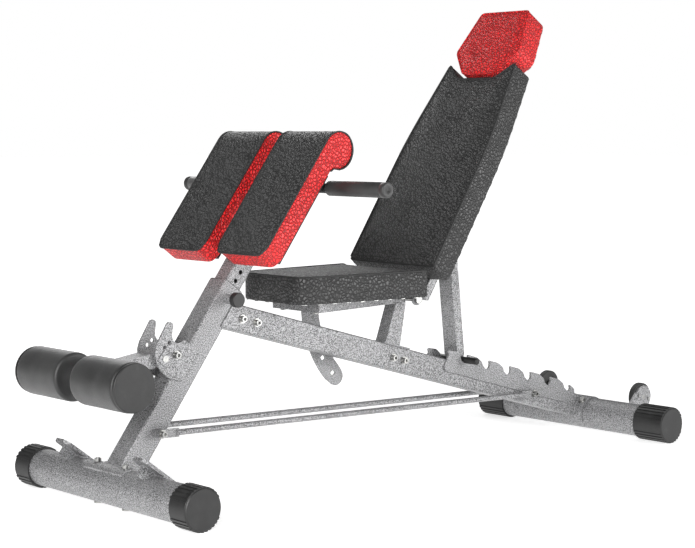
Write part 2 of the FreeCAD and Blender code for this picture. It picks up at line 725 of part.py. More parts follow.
def back_outline(inset):
    """Backrest seen from the front: straight, tapered above the middle, notched for the headrest."""
    w0 = 128.0 - inset
    w1 = 125.0 - inset
    w2 = 97.0 - inset * 1.6
    top = BACK_LENGTH - inset * 1.6
    notch = 461.0 - inset
    left = [(inset, -w0 + 12.0), (inset + 12.0, -w0), (300.0, -w1), (top, -w2), (notch, -54.0)]
    right = [(x, -y) for x, y in reversed(left)]
    return left + right


def back_board():
    return on_back(slab(back_outline(8.0), -BACK_THICK, -BACK_THICK + BOARD_THICK))


def back_pad():
    body = slab(back_outline(0.0), -BACK_THICK, 0.0)
    body = body.makeFillet(BACK_RADIUS, [e for e in body.Edges if at(e, "X", 0.0) and at(e, "Z", 0.0)])
    return on_back(body.cut(slab(back_outline(7.4), -BACK_THICK - 1, -BACK_THICK + BOARD_THICK + 0.2)))


def head_outline(inset):
    low = HEAD_LOW + inset
    top = HEAD_TOP - inset
    left = [(low, -45.0 + inset * 0.5), (HEAD_WIDEST, -93.0 + inset), (top, -70.0 + inset * 0.8)]
    right = [(x, -y) for x, y in reversed(left)]
    return left + right


def head_board():
    return on_back(slab(head_outline(8.0), -BACK_THICK, -BACK_THICK + BOARD_THICK))


def head_pad():
    body = slab(head_outline(0.0), -BACK_THICK, 0.0)
    return on_back(body.cut(slab(head_outline(7.8), -BACK_THICK - 1, -BACK_THICK + BOARD_THICK + 0.2)))


def hinge_on_back():
    return from_side(HINGE_X, HINGE_Z, BACK_X, BACK_Z, BACK_ANGLE)


def back_frame():
    """Two rails with hinge lugs, two cross bars and the headrest's centre bar."""
    hs, hz = hinge_on_back()
    high = -BACK_THICK
    low = high - RAIL_SIZE
    rail = box(hs + 10.0, 440.0, -RAIL_Y - 10.0, -RAIL_Y + 10.0, low, high)
    lug = plate([(hs + 40.0, high), (hs, high + 12.0)] + arc(hs, hz, 12.0, 90.0, 270.0, 8)
                + [(hs + 40.0, low)], -RAIL_Y - 2.5, -RAIL_Y + 2.5)
    parts = [mirror(rail), lug, mirror(lug)]
    for s in (60.0, 400.0):
        parts.append(box(s, s + 25.0, -RAIL_Y, RAIL_Y, low, high))
    parts.append(box(400.0, 610.0, -15.0, 15.0, low + 4.0, high))
    body = rail.multiFuse(parts).cut(rod(HINGE_R + RUNNING_FIT, hs, hz, -100, 100))
    body = body.cut(rod(STRUT_BAR_R + FIT, STRUT_STATION, -STRUT_DEPTH, -RAIL_Y - 8, RAIL_Y + 8))
    return on_back(body.removeSplitter())


def strut_bar():
    """Round bar between the rails; the strut swings on it."""
    return on_back(rod(STRUT_BAR_R, STRUT_STATION, -STRUT_DEPTH, -RAIL_Y - 8, RAIL_Y + 8))


def strut_top():
    return to_side(STRUT_STATION, -STRUT_DEPTH, BACK_X, BACK_Z, BACK_ANGLE)


def strut_frame():
    """Strut's own frame: X runs from its pivot to its rod in the first slot."""
    x0, z0 = strut_top()
    x1, z1 = slot_point(0)
    return x0, z0, math.hypot(x1 - x0, z1 - z0), math.degrees(math.atan2(z1 - z0, x1 - x0))


def strut():
    """Rectangular tube with a pivot sleeve above and a rounded foot below."""
    x0, z0, length, angle = strut_frame()
    half = STRUT_TUBE_DEPTH / 2
    side = STRUT_TUBE_HALF
    body = box(6.0, length - 12.0, -side, side, -half, half)
    body = body.cut(box(8.0, length - 20.0, -side + 2, side - 2, -half + 2, half - 2))
    foot = [(length - 12.0, half), (length - 12.0, -half), (length - 2.0, -6.5), (length - 2.0, 6.5)]
    body = body.fuse(plate(foot, -side, side))
    body = body.fuse(rod(SLEEVE_R, 0, 0, -side, side))
    body = body.cut(rod(STRUT_BAR_R + RUNNING_FIT, 0, 0, -30, 30)).cut(rod(ROD_R, length, 0, -30, 30))
    return place(body.removeSplitter(), x0, z0, angle)


def strut_collar():
    """Collar on the pivot bar beside the near face of the strut."""
    x0, z0 = strut_top()
    inner = -STRUT_TUBE_HALF - 0.5
    ring = rod(SLEEVE_R, x0, z0, inner - COLLAR_WIDTH, inner)
    return ring.cut(rod(STRUT_BAR_R, x0, z0, -30, 0))


def strut_rod():
    """Cross rod of the strut in three lengths, left open where the ladder plates stand."""
    x, z = slot_point(0)
    inside = BEAM_WIDTH / 2 - 1.0
    outside = BEAM_WIDTH / 2 + LADDER_PLATE + 1.0
    middle = rod(ROD_R, x, z, -inside, inside)
    end = rod(ROD_R, x, z, -ROD_HALF, -outside)
    return Part.makeCompound([middle, end, mirror(end)])


# ---------------------------------------------------------------- sliding thigh pads

def inner_post():
    """Sliding square tube with a row of pin holes."""
    body = tube(INNER_START, INNER_END, INNER_SIZE, INNER_SIZE, INNER_WALL)
    holes = []
    for i in range(-HOLES_BELOW, HOLES_ABOVE + 1):
        holes.append(rod(HOLE_R, PIN_STATION + i * HOLE_PITCH, 0, -INNER_SIZE, 0))
    holes.append(rod(BAR_R + FIT, BAR_STATION, 0, -INNER_SIZE, INNER_SIZE))
    return on_post(body.cut(Part.makeCompound(holes)))


def pad_bars():
    """Two flat bars across the sliding post that carry the thigh pads."""
    low = INNER_SIZE / 2
    bars = []
    for s in CROSSBAR_STATIONS:
        bar = box(s, s + CROSSBAR_WIDTH, -CROSSBAR_HALF, CROSSBAR_HALF, low, low + CROSSBAR_WALL)
        bars.append(on_post(bar))
    return Part.makeCompound(bars)


def thigh_board():
    """Plywood board under the near thigh pad."""
    low = INNER_SIZE / 2 + CROSSBAR_WALL
    return on_post(box(PAD_BOTTOM + 14.0, PAD_ROLL - 48.0, -PAD_OUTER_Y + 12.0, -PAD_INNER_Y - 10.0,
                       low, low + 8.0))


def thigh_pad():
    """Near thigh pad: a flat cushion that swells into a roll at its upper end."""
    low = PAD_FACE - PAD_THICK
    c = 18.0
    y0 = -PAD_OUTER_Y
    y1 = -PAD_INNER_Y
    flat = slab([(PAD_BOTTOM, y0 + c), (PAD_BOTTOM + c, y0), (PAD_ROLL, y0), (PAD_ROLL, y1),
                 (PAD_BOTTOM + c, y1), (PAD_BOTTOM, y1 - c)], low, PAD_FACE)
    roll = rod(PAD_ROLL_R, PAD_ROLL, PAD_FACE - PAD_ROLL_R, y0, y1)
    body = flat.fuse(roll).removeSplitter()
    board = box(PAD_BOTTOM + 13.0, PAD_ROLL - 47.0, y0 + 11.0, y1 - 9.0, low - 1.0, low + 0.6)
    return on_post(body.cut(board))


def handlebar():
    """Straight bar through the sliding post."""
    x, z = bar_point()
    return rod(BAR_R, x, z, -BAR_HALF + BAR_INSET, BAR_HALF - BAR_INSET)


def grip():
    """Near rubber grip, closed at its outer end."""
    x, z = bar_point()
    sleeve = rod(GRIP_R, x, z, -BAR_HALF, -BAR_HALF + GRIP_LENGTH)
    sleeve = sleeve.makeFillet(2.0, [e for e in sleeve.Edges if abs(e.BoundBox.YMax + BAR_HALF) < 0.01])
    return sleeve.cut(rod(BAR_R, x, z, -BAR_HALF + BAR_INSET, BAR_HALF))


def pull_pin():
    """Sprung pin; its nose stops just short of the sliding post."""
    x, z = pin_point()
    return rod(PIN_R, x, z, -POST_SIZE / 2 - 30.0, -INNER_SIZE / 2 - 0.5)


def knob():
    """Round plastic knob on the pull pin."""
    x, z = pin_point()
    head = rod(14.0, x, z, -POST_SIZE / 2 - 36.0, -POST_SIZE / 2 - 22.6)
    head = head.makeFillet(1.5, head.Edges)
    return head.cut(rod(PIN_R, x, z, -POST_SIZE / 2 - 30.0, 0)).removeSplitter()


# ---------------------------------------------------------------- roller arm

def on_arm(shape):
    return place(shape, ARM_X, ARM_Z, ARM_ANGLE)


def arm_pivot():
    """Pivot bar of the roller arm, held by the hook plates."""
    outside = POST_SIZE / 2 + HOOK_WALL
    return rod(PIVOT_R, ARM_X, ARM_Z, -outside - 3.0, outside + 3.0)


def pivot_washer():
    """Square washer under the near end of the pivot bar."""
    outside = POST_SIZE / 2 + HOOK_WALL
    sheet = place(box(-12.0, 12.0, -outside - 2.0, -outside, -12.0, 12.0), ARM_X, ARM_Z, 50.0)
    return sheet.cut(rod(PIVOT_R, ARM_X, ARM_Z, -60, 0))


def roller_arm():
    """Rectangular arm from the pivot to the roller tube."""
    end = ARM_REACH - 8.0
    side = ARM_HALF_WIDTH
    half = ARM_HALF_DEPTH
    body = box(0.0, end, -side, side, -half, half)
    body = body.cut(box(half, end, -side + ARM_WALL, side - ARM_WALL, -half + ARM_WALL, half - ARM_WALL))
    body = body.fuse(rod(half, 0, 0, -side, side))
    body = body.cut(rod(PIVOT_R + RUNNING_FIT, 0, 0, -30, 30)).cut(rod(AXLE_R + FIT, ARM_REACH, 0, -30, 30))
    return on_arm(body.removeSplitter())


def roller_axle():
    """Cross tube through both rollers."""
    outer = rod(AXLE_R, ARM_REACH, 0, -ROLLER_HALF + 8.0, ROLLER_HALF - 8.0)
    return on_arm(outer.cut(rod(AXLE_R - AXLE_WALL, ARM_REACH, 0, -ROLLER_HALF, ROLLER_HALF)))


def foam_roller():
    """Near foam roller; it turns on the cross tube."""
    foam = rod(ROLLER_R, ARM_REACH, 0, -ROLLER_HALF + 6.0, -22.0)
    foam = foam.makeFillet(3.0, foam.Edges)
    return on_arm(foam.cut(rod(AXLE_R + RUNNING_FIT, ARM_REACH, 0, -ROLLER_HALF, 0)))


def roller_end():
    """Near end disc, pressed into the cross tube; it keeps the roller on."""
    disc_body = rod(ROLLER_R - 1.5, ARM_REACH, 0, -ROLLER_HALF, -ROLLER_HALF + 5.6)
    outer = [e for e in disc_body.Edges if abs(e.BoundBox.YMax + ROLLER_HALF) < 0.01]
    disc_body = disc_body.makeFillet(2.5, outer)
    plug = rod(AXLE_R - AXLE_WALL - FIT, ARM_REACH, 0, -ROLLER_HALF + 5.0, -ROLLER_HALF + 24.0)
    return on_arm(disc_body.fuse(plug).removeSplitter())


# ---------------------------------------------------------------- transport wheels

def wheel():
    """Near wheel with a round tread edge."""
    half = WHEEL_THICK / 2
    body = rod(WHEEL_R, WHEEL_X, WHEEL_Z, -WHEEL_Y - half, -WHEEL_Y + half)
    body = body.makeFillet(2.0, body.Edges)
    dish = rod(20.0, WHEEL_X, WHEEL_Z, -WHEEL_Y + half - 2.0, -WHEEL_Y + half + 1)
    return body.cut(dish).cut(rod(WHEEL_BORE, WHEEL_X, WHEEL_Z, -200, 0))


def wheel_bracket():
    """Near plate welded to the rear stabiliser outside the wheel."""
    y = -WHEEL_Y - WHEEL_THICK / 2 - WHEEL_GAP
    outline = [(WHEELBASE + 6.0, CAP_R + TUBE_R - 6.0), (WHEEL_X - 27.0, WHEEL_Z + 12.0)]
    outline += arc(WHEEL_X, WHEEL_Z, 26.0, 150.0, -60.0, 14)
    outline += [(WHEELBASE + 30.0, CAP_R - 8.0)]
    sheet = plate(outline, y - WHEEL_PLATE, y).cut(rod(TUBE_R, WHEELBASE, CAP_R, -200, 0))
    return sheet.cut(rod(WHEEL_BOLT_R + FIT, WHEEL_X, WHEEL_Z, -200, 0))


def wheel_axle():
    """Near wheel bolt with its head on the inner side."""
    outer = -WHEEL_Y - WHEEL_THICK / 2 - WHEEL_GAP - WHEEL_PLATE
    inner = -WHEEL_Y + WHEEL_THICK / 2 + 0.5
    shaft = rod(WHEEL_BOLT_R, WHEEL_X, WHEEL_Z, outer, inner)
    return shaft.fuse(rod(8.5, WHEEL_X, WHEEL_Z, inner, inner + 5.0)).removeSplitter()


def wheel_screw(side):
    """Small screw head on the outside of the near wheel bracket."""
    y = -WHEEL_Y - WHEEL_THICK / 2 - WHEEL_GAP - WHEEL_PLATE
    x, z = to_side(side * 17.8, 0.0, WHEEL_X, WHEEL_Z, -17.0)
    return rod(3.6, x, z, y - 3.0, y)


# ---------------------------------------------------------------- the set of pieces

PARTS = {
    "front_stabiliser": front_stabiliser(),
    "front_caps": both(cap(0.0, FRONT_CAP_LENGTH)),
    "front_post_saddle": post_saddle(),
    "front_saddle_bolts": both(stabiliser_bolt(-SADDLE_BOLT_Y)),
    "foot_plates": both(foot_plate()),
    "front_post": front_post(),
    "post_bush": post_bush(),
    "pin_boss": pin_boss(),
    "hook_plates": both(hook_plate()),
    "stop_bolt": stop_bolt(),
    "beam_stub": beam_stub(),
    "front_beam": front_beam(),
    "beam_bolts": Part.makeCompound([beam_bolt(s) for s in BEAM_BOLTS + JOINT_BOLTS]),
    "beam_coupler": beam_coupler(),
    "rear_beam": rear_beam(),
    "ladder_plates": both(ladder_plate()),
    "rear_saddle": rear_saddle(),
    "rear_saddle_bolts": both(rear_saddle_bolt(-REAR_BOLT_Y)),
    "rear_stabiliser": stabiliser(WHEELBASE).cut(rear_saddle_holes()),
    "rear_caps": both(cap(WHEELBASE, REAR_CAP_LENGTH)),
    "tie_rods": both(tie_rod()),
    "tie_spacers": Part.makeCompound([
        tie_spacer(TIE_FRONT, POST_SIZE / 2), mirror(tie_spacer(TIE_FRONT, POST_SIZE / 2)),
        tie_spacer(TIE_REAR, BEAM_WIDTH / 2), mirror(tie_spacer(TIE_REAR, BEAM_WIDTH / 2))]),
    "tie_bolts": Part.makeCompound([tie_bolt(TIE_FRONT), tie_bolt(TIE_REAR)]),
    "rear_support": rear_support(),
    "hinge_rod": hinge_bolt(),
    "seat_catch_bracket": seat_catch_bracket(),
    "seat_catch_pin": seat_catch_pin(),
    "seat_frame": seat_frame(),
    "seat_arc_plate": seat_arc(),
    "seat_screws": both(seat_screw(SEAT_SCREW_X, -50.0)),
    "seat_board": seat_board(),
    "seat_pad": seat_pad(),
    "backrest_frame": back_frame(),
    "strut_bar": strut_bar(),
    "backrest_board": back_board(),
    "backrest_pad": back_pad(),
    "headrest_board": head_board(),
    "headrest_pad": head_pad(),
    "strut": strut(),
    "strut_collars": both(strut_collar()),
    "strut_rod": strut_rod(),
    "sliding_post": inner_post(),
    "pad_crossbars": pad_bars(),
    "thigh_boards": both(thigh_board()),
    "thigh_pads": both(thigh_pad()),
    "handlebar": handlebar(),
    "handle_grips": both(grip()),
    "pull_pin": pull_pin(),
    "pin_knob": knob(),
    "arm_pivot": arm_pivot(),
    "pivot_washer": pivot_washer(),
    "roller_arm": roller_arm(),
    "roller_axle": roller_axle(),
    "roller_end_plugs": both(roller_end()),
    "foam_roller_near": foam_roller(),
    "foam_roller_far": mirror(foam_roller()),
    "wheel_brackets": both(wheel_bracket()),
    "wheel_bolts": both(Part.makeCompound([wheel_axle(), wheel_screw(-1.0), wheel_screw(1.0)])),
    "wheel_near": wheel(),
    "wheel_far": mirror(wheel()),
}

os.makedirs("parts", exist_ok=True)
for name, shape in PARTS.items():
    shape.translate(V(-ORIGIN_X, 0, 0))
    shape.exportStep("parts/" + name + ".step")
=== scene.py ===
import json
import math

import bmesh
import bpy
from mathutils import Matrix, Vector, noise


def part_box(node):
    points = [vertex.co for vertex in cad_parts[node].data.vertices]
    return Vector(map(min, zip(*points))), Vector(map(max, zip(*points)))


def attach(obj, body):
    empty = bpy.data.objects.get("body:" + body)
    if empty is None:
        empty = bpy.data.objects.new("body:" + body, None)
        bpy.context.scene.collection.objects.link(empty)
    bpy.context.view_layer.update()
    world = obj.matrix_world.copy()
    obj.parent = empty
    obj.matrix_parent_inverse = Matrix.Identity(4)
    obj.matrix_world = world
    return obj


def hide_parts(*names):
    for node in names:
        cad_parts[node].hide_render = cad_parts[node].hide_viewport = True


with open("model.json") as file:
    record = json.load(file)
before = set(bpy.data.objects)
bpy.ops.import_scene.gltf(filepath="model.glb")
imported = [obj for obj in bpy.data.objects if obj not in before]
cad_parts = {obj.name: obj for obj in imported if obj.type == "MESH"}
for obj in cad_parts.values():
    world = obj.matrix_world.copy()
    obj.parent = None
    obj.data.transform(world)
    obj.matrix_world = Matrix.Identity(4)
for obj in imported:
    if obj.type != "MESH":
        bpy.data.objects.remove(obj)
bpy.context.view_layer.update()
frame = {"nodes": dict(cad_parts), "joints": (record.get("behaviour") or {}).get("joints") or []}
nodes = frame["nodes"]
joints = {joint["name"]: joint for joint in frame["joints"]}


# ---- Welded frame ---------------------------------------------------------------------
# Steel tube and plate, welded up and coated with a grey hammertone powder. As it cures
# the powder draws into bright islands with dark veins between them.

class Wire:
    """One socket of a finish; arithmetic on it adds the Math nodes it needs."""

    def __init__(self, finish, socket):
        self.finish = finish
        self.socket = socket

    def maths(self, operation, first, second):
        return self.finish.node("ShaderNodeMath", {"operation": operation}, {0: first, 1: second})

    def __add__(self, other):
        return self.maths("ADD", self, other)

    def __mul__(self, other):
        return self.maths("MULTIPLY", self, other)

    def __sub__(self, other):
        return self.maths("SUBTRACT", self, other)

    def __rsub__(self, other):
        return self.maths("SUBTRACT", other, self)

    __radd__ = __add__
    __rmul__ = __mul__


class Finish:
    """A material being made; its patterns lie on the object's own coordinates."""

    def __init__(self, name):
        self.material = bpy.data.materials.new(name)
        self.material.use_nodes = True
        self.tree = self.material.node_tree
        self.shader = self.tree.nodes["Principled BSDF"]
        self.place = self.node("ShaderNodeTexCoord", out="Object")

    def node(self, kind, settings=None, inputs=None, out=0):
        made = self.tree.nodes.new(kind)
        for key, value in (settings or {}).items():
            if key == "stops":
                set_stops(made.color_ramp, value)
            else:
                setattr(made, key, value)
        for key, value in (inputs or {}).items():
            self.join(value, made.inputs[key])
        return Wire(self, made.outputs[out])

    def join(self, value, socket):
        if isinstance(value, Wire):
            self.tree.links.new(value.socket, socket)
        else:
            socket.default_value = value

    def cells(self, scale, **extra):
        inputs = {"Vector": self.place, "Scale": scale}
        inputs.update(extra)
        return inputs

    def noise(self, scale, detail=2.0, roughness=0.5):
        return self.node("ShaderNodeTexNoise", {}, self.cells(scale, Detail=detail, Roughness=roughness))

    def ramp(self, value, stops):
        return self.node("ShaderNodeValToRGB", {"stops": stops}, {"Fac": value})

    def surface(self, **inputs):
        for key, value in inputs.items():
            self.join(value, self.shader.inputs[key.replace("_", " ")])

    def relief(self, height, depth):
        bump = self.node("ShaderNodeBump", {}, {"Height": height, "Distance": depth, "Strength": 1.0})
        self.surface(Normal=bump)


def set_stops(ramp, stops):
    while len(ramp.elements) < len(stops):
        ramp.elements.new(1.0)
    for element, (position, colour) in zip(ramp.elements, stops):
        element.position = position
        element.color = colour


def grey(value, tint=1.0):
    return (value, value, value * tint, 1.0)


def hammertone():
    finish = Finish("hammertone_powder_coat")
    veins = finish.noise(560.0, 2.0, 0.55)
    drift = finish.noise(9.0)
    mixed = veins + (drift - 0.5) * 0.08
    colour = finish.ramp(mixed, [(0.34, grey(0.03)), (0.43, grey(0.15, 1.02)), (0.54, grey(0.33, 1.02)),
                                 (0.66, grey(0.50, 1.02))])
    finish.surface(Base_Color=colour, Roughness=0.62 - veins * 0.4, Metallic=0.35)
    finish.relief(veins, 0.0008)
    return finish.material


def coat(material, *names):
    """Gives CAD nodes their finish."""
    for name in names:
        nodes[name].data.materials.clear()
        nodes[name].data.materials.append(material)


powder_coat = hammertone()
coat(powder_coat, "front_stabiliser", "rear_stabiliser", "front_post_saddle", "foot_plates", "front_post",
     "pin_boss", "hook_plates", "beam_stub", "front_beam", "beam_coupler", "rear_beam", "ladder_plates",
     "rear_saddle", "rear_support", "seat_catch_bracket", "seat_frame", "seat_arc_plate", "backrest_frame",
     "strut", "sliding_post", "pad_crossbars", "roller_arm", "roller_axle", "wheel_brackets", "tie_rods",
     "tie_spacers", "pivot_washer")


# ---- Weld beads -----------------------------------------------------------------------
# Each joint of the frame has a run of weld: small overlapping ripples of steel laid one
# after another along the corner, then powder coated with the rest.

def node_graph(name, inputs):
    tree = bpy.data.node_groups.new(name, "GeometryNodeTree")
    tree.interface.new_socket("Geometry", in_out="INPUT", socket_type="NodeSocketGeometry")
    for label, kind in inputs:
        tree.interface.new_socket(label, in_out="INPUT", socket_type=kind)
    tree.interface.new_socket("Geometry", in_out="OUTPUT", socket_type="NodeSocketGeometry")
    return tree


def row_graph(name, bead):
    """Lays beads end to end along the path of a wire mesh. bead is round or square."""
    tree = node_graph(name, [("Spacing", "NodeSocketFloat"), ("Length", "NodeSocketFloat"),
                             ("Width", "NodeSocketFloat"), ("Height", "NodeSocketFloat"),
                             ("Finish", "NodeSocketMaterial")])
    make = tree.nodes.new
    link = tree.links.new
    given = make("NodeGroupInput")
    result = make("NodeGroupOutput")
    curve = make("GeometryNodeMeshToCurve")
    points = make("GeometryNodeCurveToPoints")
    points.mode = "LENGTH"
    size = make("ShaderNodeCombineXYZ")
    if bead == "round":
        shape = make("GeometryNodeMeshUVSphere")
        shape.inputs["Segments"].default_value = 8
        shape.inputs["Rings"].default_value = 5
        shape.inputs["Radius"].default_value = 0.5
    else:
        shape = make("GeometryNodeMeshCube")
    place = make("GeometryNodeInstanceOnPoints")
    realize = make("GeometryNodeRealizeInstances")
    paint = make("GeometryNodeSetMaterial")
    link(given.outputs["Geometry"], curve.inputs["Mesh"])
    link(curve.outputs["Curve"], points.inputs["Curve"])
    link(given.outputs["Spacing"], points.inputs["Length"])
    link(given.outputs["Width"], size.inputs["X"])
    link(given.outputs["Height"], size.inputs["Y"])
    link(given.outputs["Length"], size.inputs["Z"])
    link(points.outputs["Points"], place.inputs["Points"])
    link(points.outputs["Rotation"], place.inputs["Rotation"])
    link(shape.outputs["Mesh"], place.inputs["Instance"])
    link(size.outputs["Vector"], place.inputs["Scale"])
    link(place.outputs["Instances"], realize.inputs["Geometry"])
    link(realize.outputs["Geometry"], paint.inputs["Geometry"])
    link(given.outputs["Finish"], paint.inputs["Material"])
    link(paint.outputs["Geometry"], result.inputs["Geometry"])
    return tree


def show(name, mesh):
    piece = bpy.data.objects.new(name, mesh)
    bpy.context.scene.collection.objects.link(piece)
    return piece


def row(name, graph, paths, finish, spacing, length, width, height):
    """A plain mesh of beads along paths, each a list of points and whether it closes."""
    wire = bpy.data.meshes.new(name + "_path")
    vertices = []
    edges = []
    for points, closed in paths:
        first = len(vertices)
        vertices += [tuple(point) for point in points]
        edges += [(first + i, first + i + 1) for i in range(len(points) - 1)]
        if closed:
            edges.append((first + len(points) - 1, first))
    wire.from_pydata(vertices, edges, [])
    guide = show(name + "_guide", wire)
    modifier = guide.modifiers.new("Row", "NODES")
    modifier.node_group = graph
    sizes = {"Spacing": spacing, "Length": length, "Width": width, "Height": height, "Finish": finish}
    for item in graph.interface.items_tree:
        if item.in_out == "INPUT" and item.name in sizes:
            modifier[item.identifier] = sizes[item.name]
    bpy.context.view_layer.update()
    evaluated = guide.evaluated_get(bpy.context.evaluated_depsgraph_get())
    mesh = bpy.data.meshes.new_from_object(evaluated)
    bpy.data.objects.remove(guide)
    return show(name, mesh)


weld_graph = row_graph("weld_ripples", "round")
WELD_STEP = 0.0022
WELD_WIDTH = 0.0055


def weld(name, paths):
    bead = row(name, weld_graph, paths, powder_coat, WELD_STEP, WELD_STEP * 2.2, WELD_WIDTH, WELD_WIDTH)
    for face in bead.data.polygons:
        face.use_smooth = True
    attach(bead, "frame")


def middle(node):
    low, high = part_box(node)
    return (Vector(low) + Vector(high)) / 2.0


def ring_on_tube(axis, radius, start, direction, side, half_width, half_height):
    """Where a square tube meets a round one: a loop of points on the round tube."""
    corners = [(-1, -1), (1, -1), (1, 1), (-1, 1)]
    loop = []
    for i, (a, b) in enumerate(corners):
        c, d = corners[(i + 1) % 4]
        for k in range(12):
            t = k / 12.0
            across = (a + (c - a) * t) * half_width
            up = (b + (d - b) * t) * half_height
            point = start + side * up + Vector((0.0, across, 0.0))
            away = Vector((point.x - axis.x, 0.0, point.z - axis.z))
            along = away.dot(direction)
            reach = max(radius * radius - away.length_squared + along * along, 0.0)
            loop.append(point + direction * (math.sqrt(reach) - along))
    return loop


post_direction = Vector(joints["pad_height"]["axis"])
post_side = Vector((-post_direction.z, 0.0, post_direction.x))
front_axis = middle("front_stabiliser")
rear_axis = middle("rear_stabiliser")
STRAP_RADIUS = 0.038
POST_HALF = 0.025
post_middle = middle("pin_boss")
post_start = post_middle - post_direction * (post_middle - front_axis).dot(post_direction)
post_start.y = 0.0
weld("post_weld", [(ring_on_tube(front_axis, STRAP_RADIUS, post_start, post_direction, post_side,
                                 POST_HALF, POST_HALF), True)])

BEAM_SLOPE = math.radians(-15.4)
BEAM_HALF_WIDTH = 0.028
BEAM_HALF_HEIGHT = 0.025
beam_direction = Vector((math.cos(BEAM_SLOPE), 0.0, math.sin(BEAM_SLOPE)))
beam_side = Vector((-beam_direction.z, 0.0, beam_direction.x))
beam_top = Vector(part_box("rear_beam")[0]).x, Vector(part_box("rear_beam")[1]).z
beam_start = Vector((beam_top[0], 0.0, beam_top[1])) - beam_side * BEAM_HALF_HEIGHT
beam_loop = ring_on_tube(rear_axis, STRAP_RADIUS, beam_start, -beam_direction, beam_side,
                         BEAM_HALF_WIDTH, BEAM_HALF_HEIGHT)
weld("beam_weld", [([point for point in beam_loop if point.z > rear_axis.z], False)])

PIN_STATION = 0.404
HOOK_WELD = (0.226, 0.284)
hook_paths = []
for side in (-1.0, 1.0):
    path = []
    for i in range(24):
        station = HOOK_WELD[0] + (HOOK_WELD[1] - HOOK_WELD[0]) * i / 23
        point = post_middle + post_direction * (station - PIN_STATION)
        path.append(Vector((point.x, side * (POST_HALF + 0.0006), point.z)))
    hook_paths.append((path, False))
weld("hook_weld", hook_paths)

TREAD_TURN = math.radians(53.0)
TREAD_SPAN = (0.106, 0.145)
tread_touch = front_axis + Vector((math.cos(TREAD_TURN), 0.0, math.sin(TREAD_TURN))) * 0.035
tread_run = Vector((math.sin(TREAD_TURN), 0.0, -math.cos(TREAD_TURN)))
tread_paths = []
for side in (-1.0, 1.0):
    for way in (-1.0, 1.0):
        spot = tread_touch + tread_run * way * 0.0105
        path = [Vector((spot.x, side * (TREAD_SPAN[0] + (TREAD_SPAN[1] - TREAD_SPAN[0]) * i / 15), spot.z))
                for i in range(16)]
        tread_paths.append((path, False))
weld("tread_weld", tread_paths)


# ---- Stabiliser caps, guide bush, knob and small plastic parts ------------------------
# Injection-moulded black polypropylene with the fine spark-eroded grain of the mould.

def moulded_plastic():
    finish = Finish("black_moulded_plastic")
    grain = finish.noise(1900.0, 2.0, 0.6)
    scuff = finish.noise(26.0, 5.0, 0.65)
    colour = finish.ramp(scuff, [(0.30, grey(0.010)), (0.60, grey(0.020)), (0.80, grey(0.045))])
    finish.surface(Base_Color=colour, Roughness=0.36 + scuff * 0.22)
    finish.relief(grain, 0.00008)
    return finish.material


black_plastic = moulded_plastic()
coat(black_plastic, "front_caps", "rear_caps", "post_bush", "pin_knob", "strut_collars", "roller_end_plugs")


# ---- Bolts, pins and axles ------------------------------------------------------------
# Bright zinc-plated steel: turned or cold-headed, so it shows faint turning marks and a
# slightly uneven, cloudy plating.

def zinc_plate():
    finish = Finish("zinc_plated_steel")
    cloud = finish.noise(60.0, 4.0, 0.6)
    marks = finish.noise(1500.0, 1.0)
    colour = finish.ramp(cloud, [(0.30, (0.26, 0.26, 0.26, 1.0)), (0.55, (0.40, 0.40, 0.39, 1.0)),
                                 (0.75, (0.55, 0.54, 0.51, 1.0))])
    finish.surface(Base_Color=colour, Roughness=0.20 + cloud * 0.16, Metallic=1.0)
    finish.relief(marks, 0.00004)
    return finish.material


zinc = zinc_plate()
coat(zinc, "front_saddle_bolts", "stop_bolt", "rear_saddle_bolts", "tie_bolts", "seat_screws", "strut_bar",
     "pull_pin", "arm_pivot", "wheel_bolts", "seat_catch_pin", "hinge_rod", "beam_bolts")


# ---- Handlebar ------------------------------------------------------------------------
# A straight steel tube through the sliding post, painted satin black; the same paint is
# used on the strut's cross rod.

def satin_black():
    finish = Finish("satin_black_paint")
    orange_peel = finish.noise(700.0, 1.0)
    cloud = finish.noise(18.0, 3.0)
    colour = finish.ramp(cloud, [(0.35, grey(0.012)), (0.70, grey(0.028))])
    finish.surface(Base_Color=colour, Roughness=0.22 + cloud * 0.12, Metallic=0.35)
    finish.relief(orange_peel, 0.00006)
    return finish.material


black_paint = satin_black()
coat(black_paint, "handlebar")


# ---- Boards ---------------------------------------------------------------------------
# Birch plywood hidden under black spun cloth, which closes the underside of each pad.

def spun_cloth():
    finish = Finish("black_spun_cloth")
    fibre = finish.noise(1400.0, 6.0, 0.75)
    patch = finish.noise(60.0, 2.0)
    colour = finish.ramp(fibre * 0.7 + patch * 0.3, [(0.35, grey(0.008)), (0.65, grey(0.035))])
    finish.surface(Base_Color=colour, Roughness=0.92, Sheen_Weight=0.3)
    finish.relief(fibre, 0.0002)
    return finish.material


cloth = spun_cloth()
coat(cloth, "seat_board", "backrest_board", "headrest_board", "thigh_boards")


# ---- Seat cushion ---------------------------------------------------------------------
# Foam on a board, covered in grained synthetic leather: a flat top panel sewn all round
# to an upright side band, which is pulled under the board and stapled.

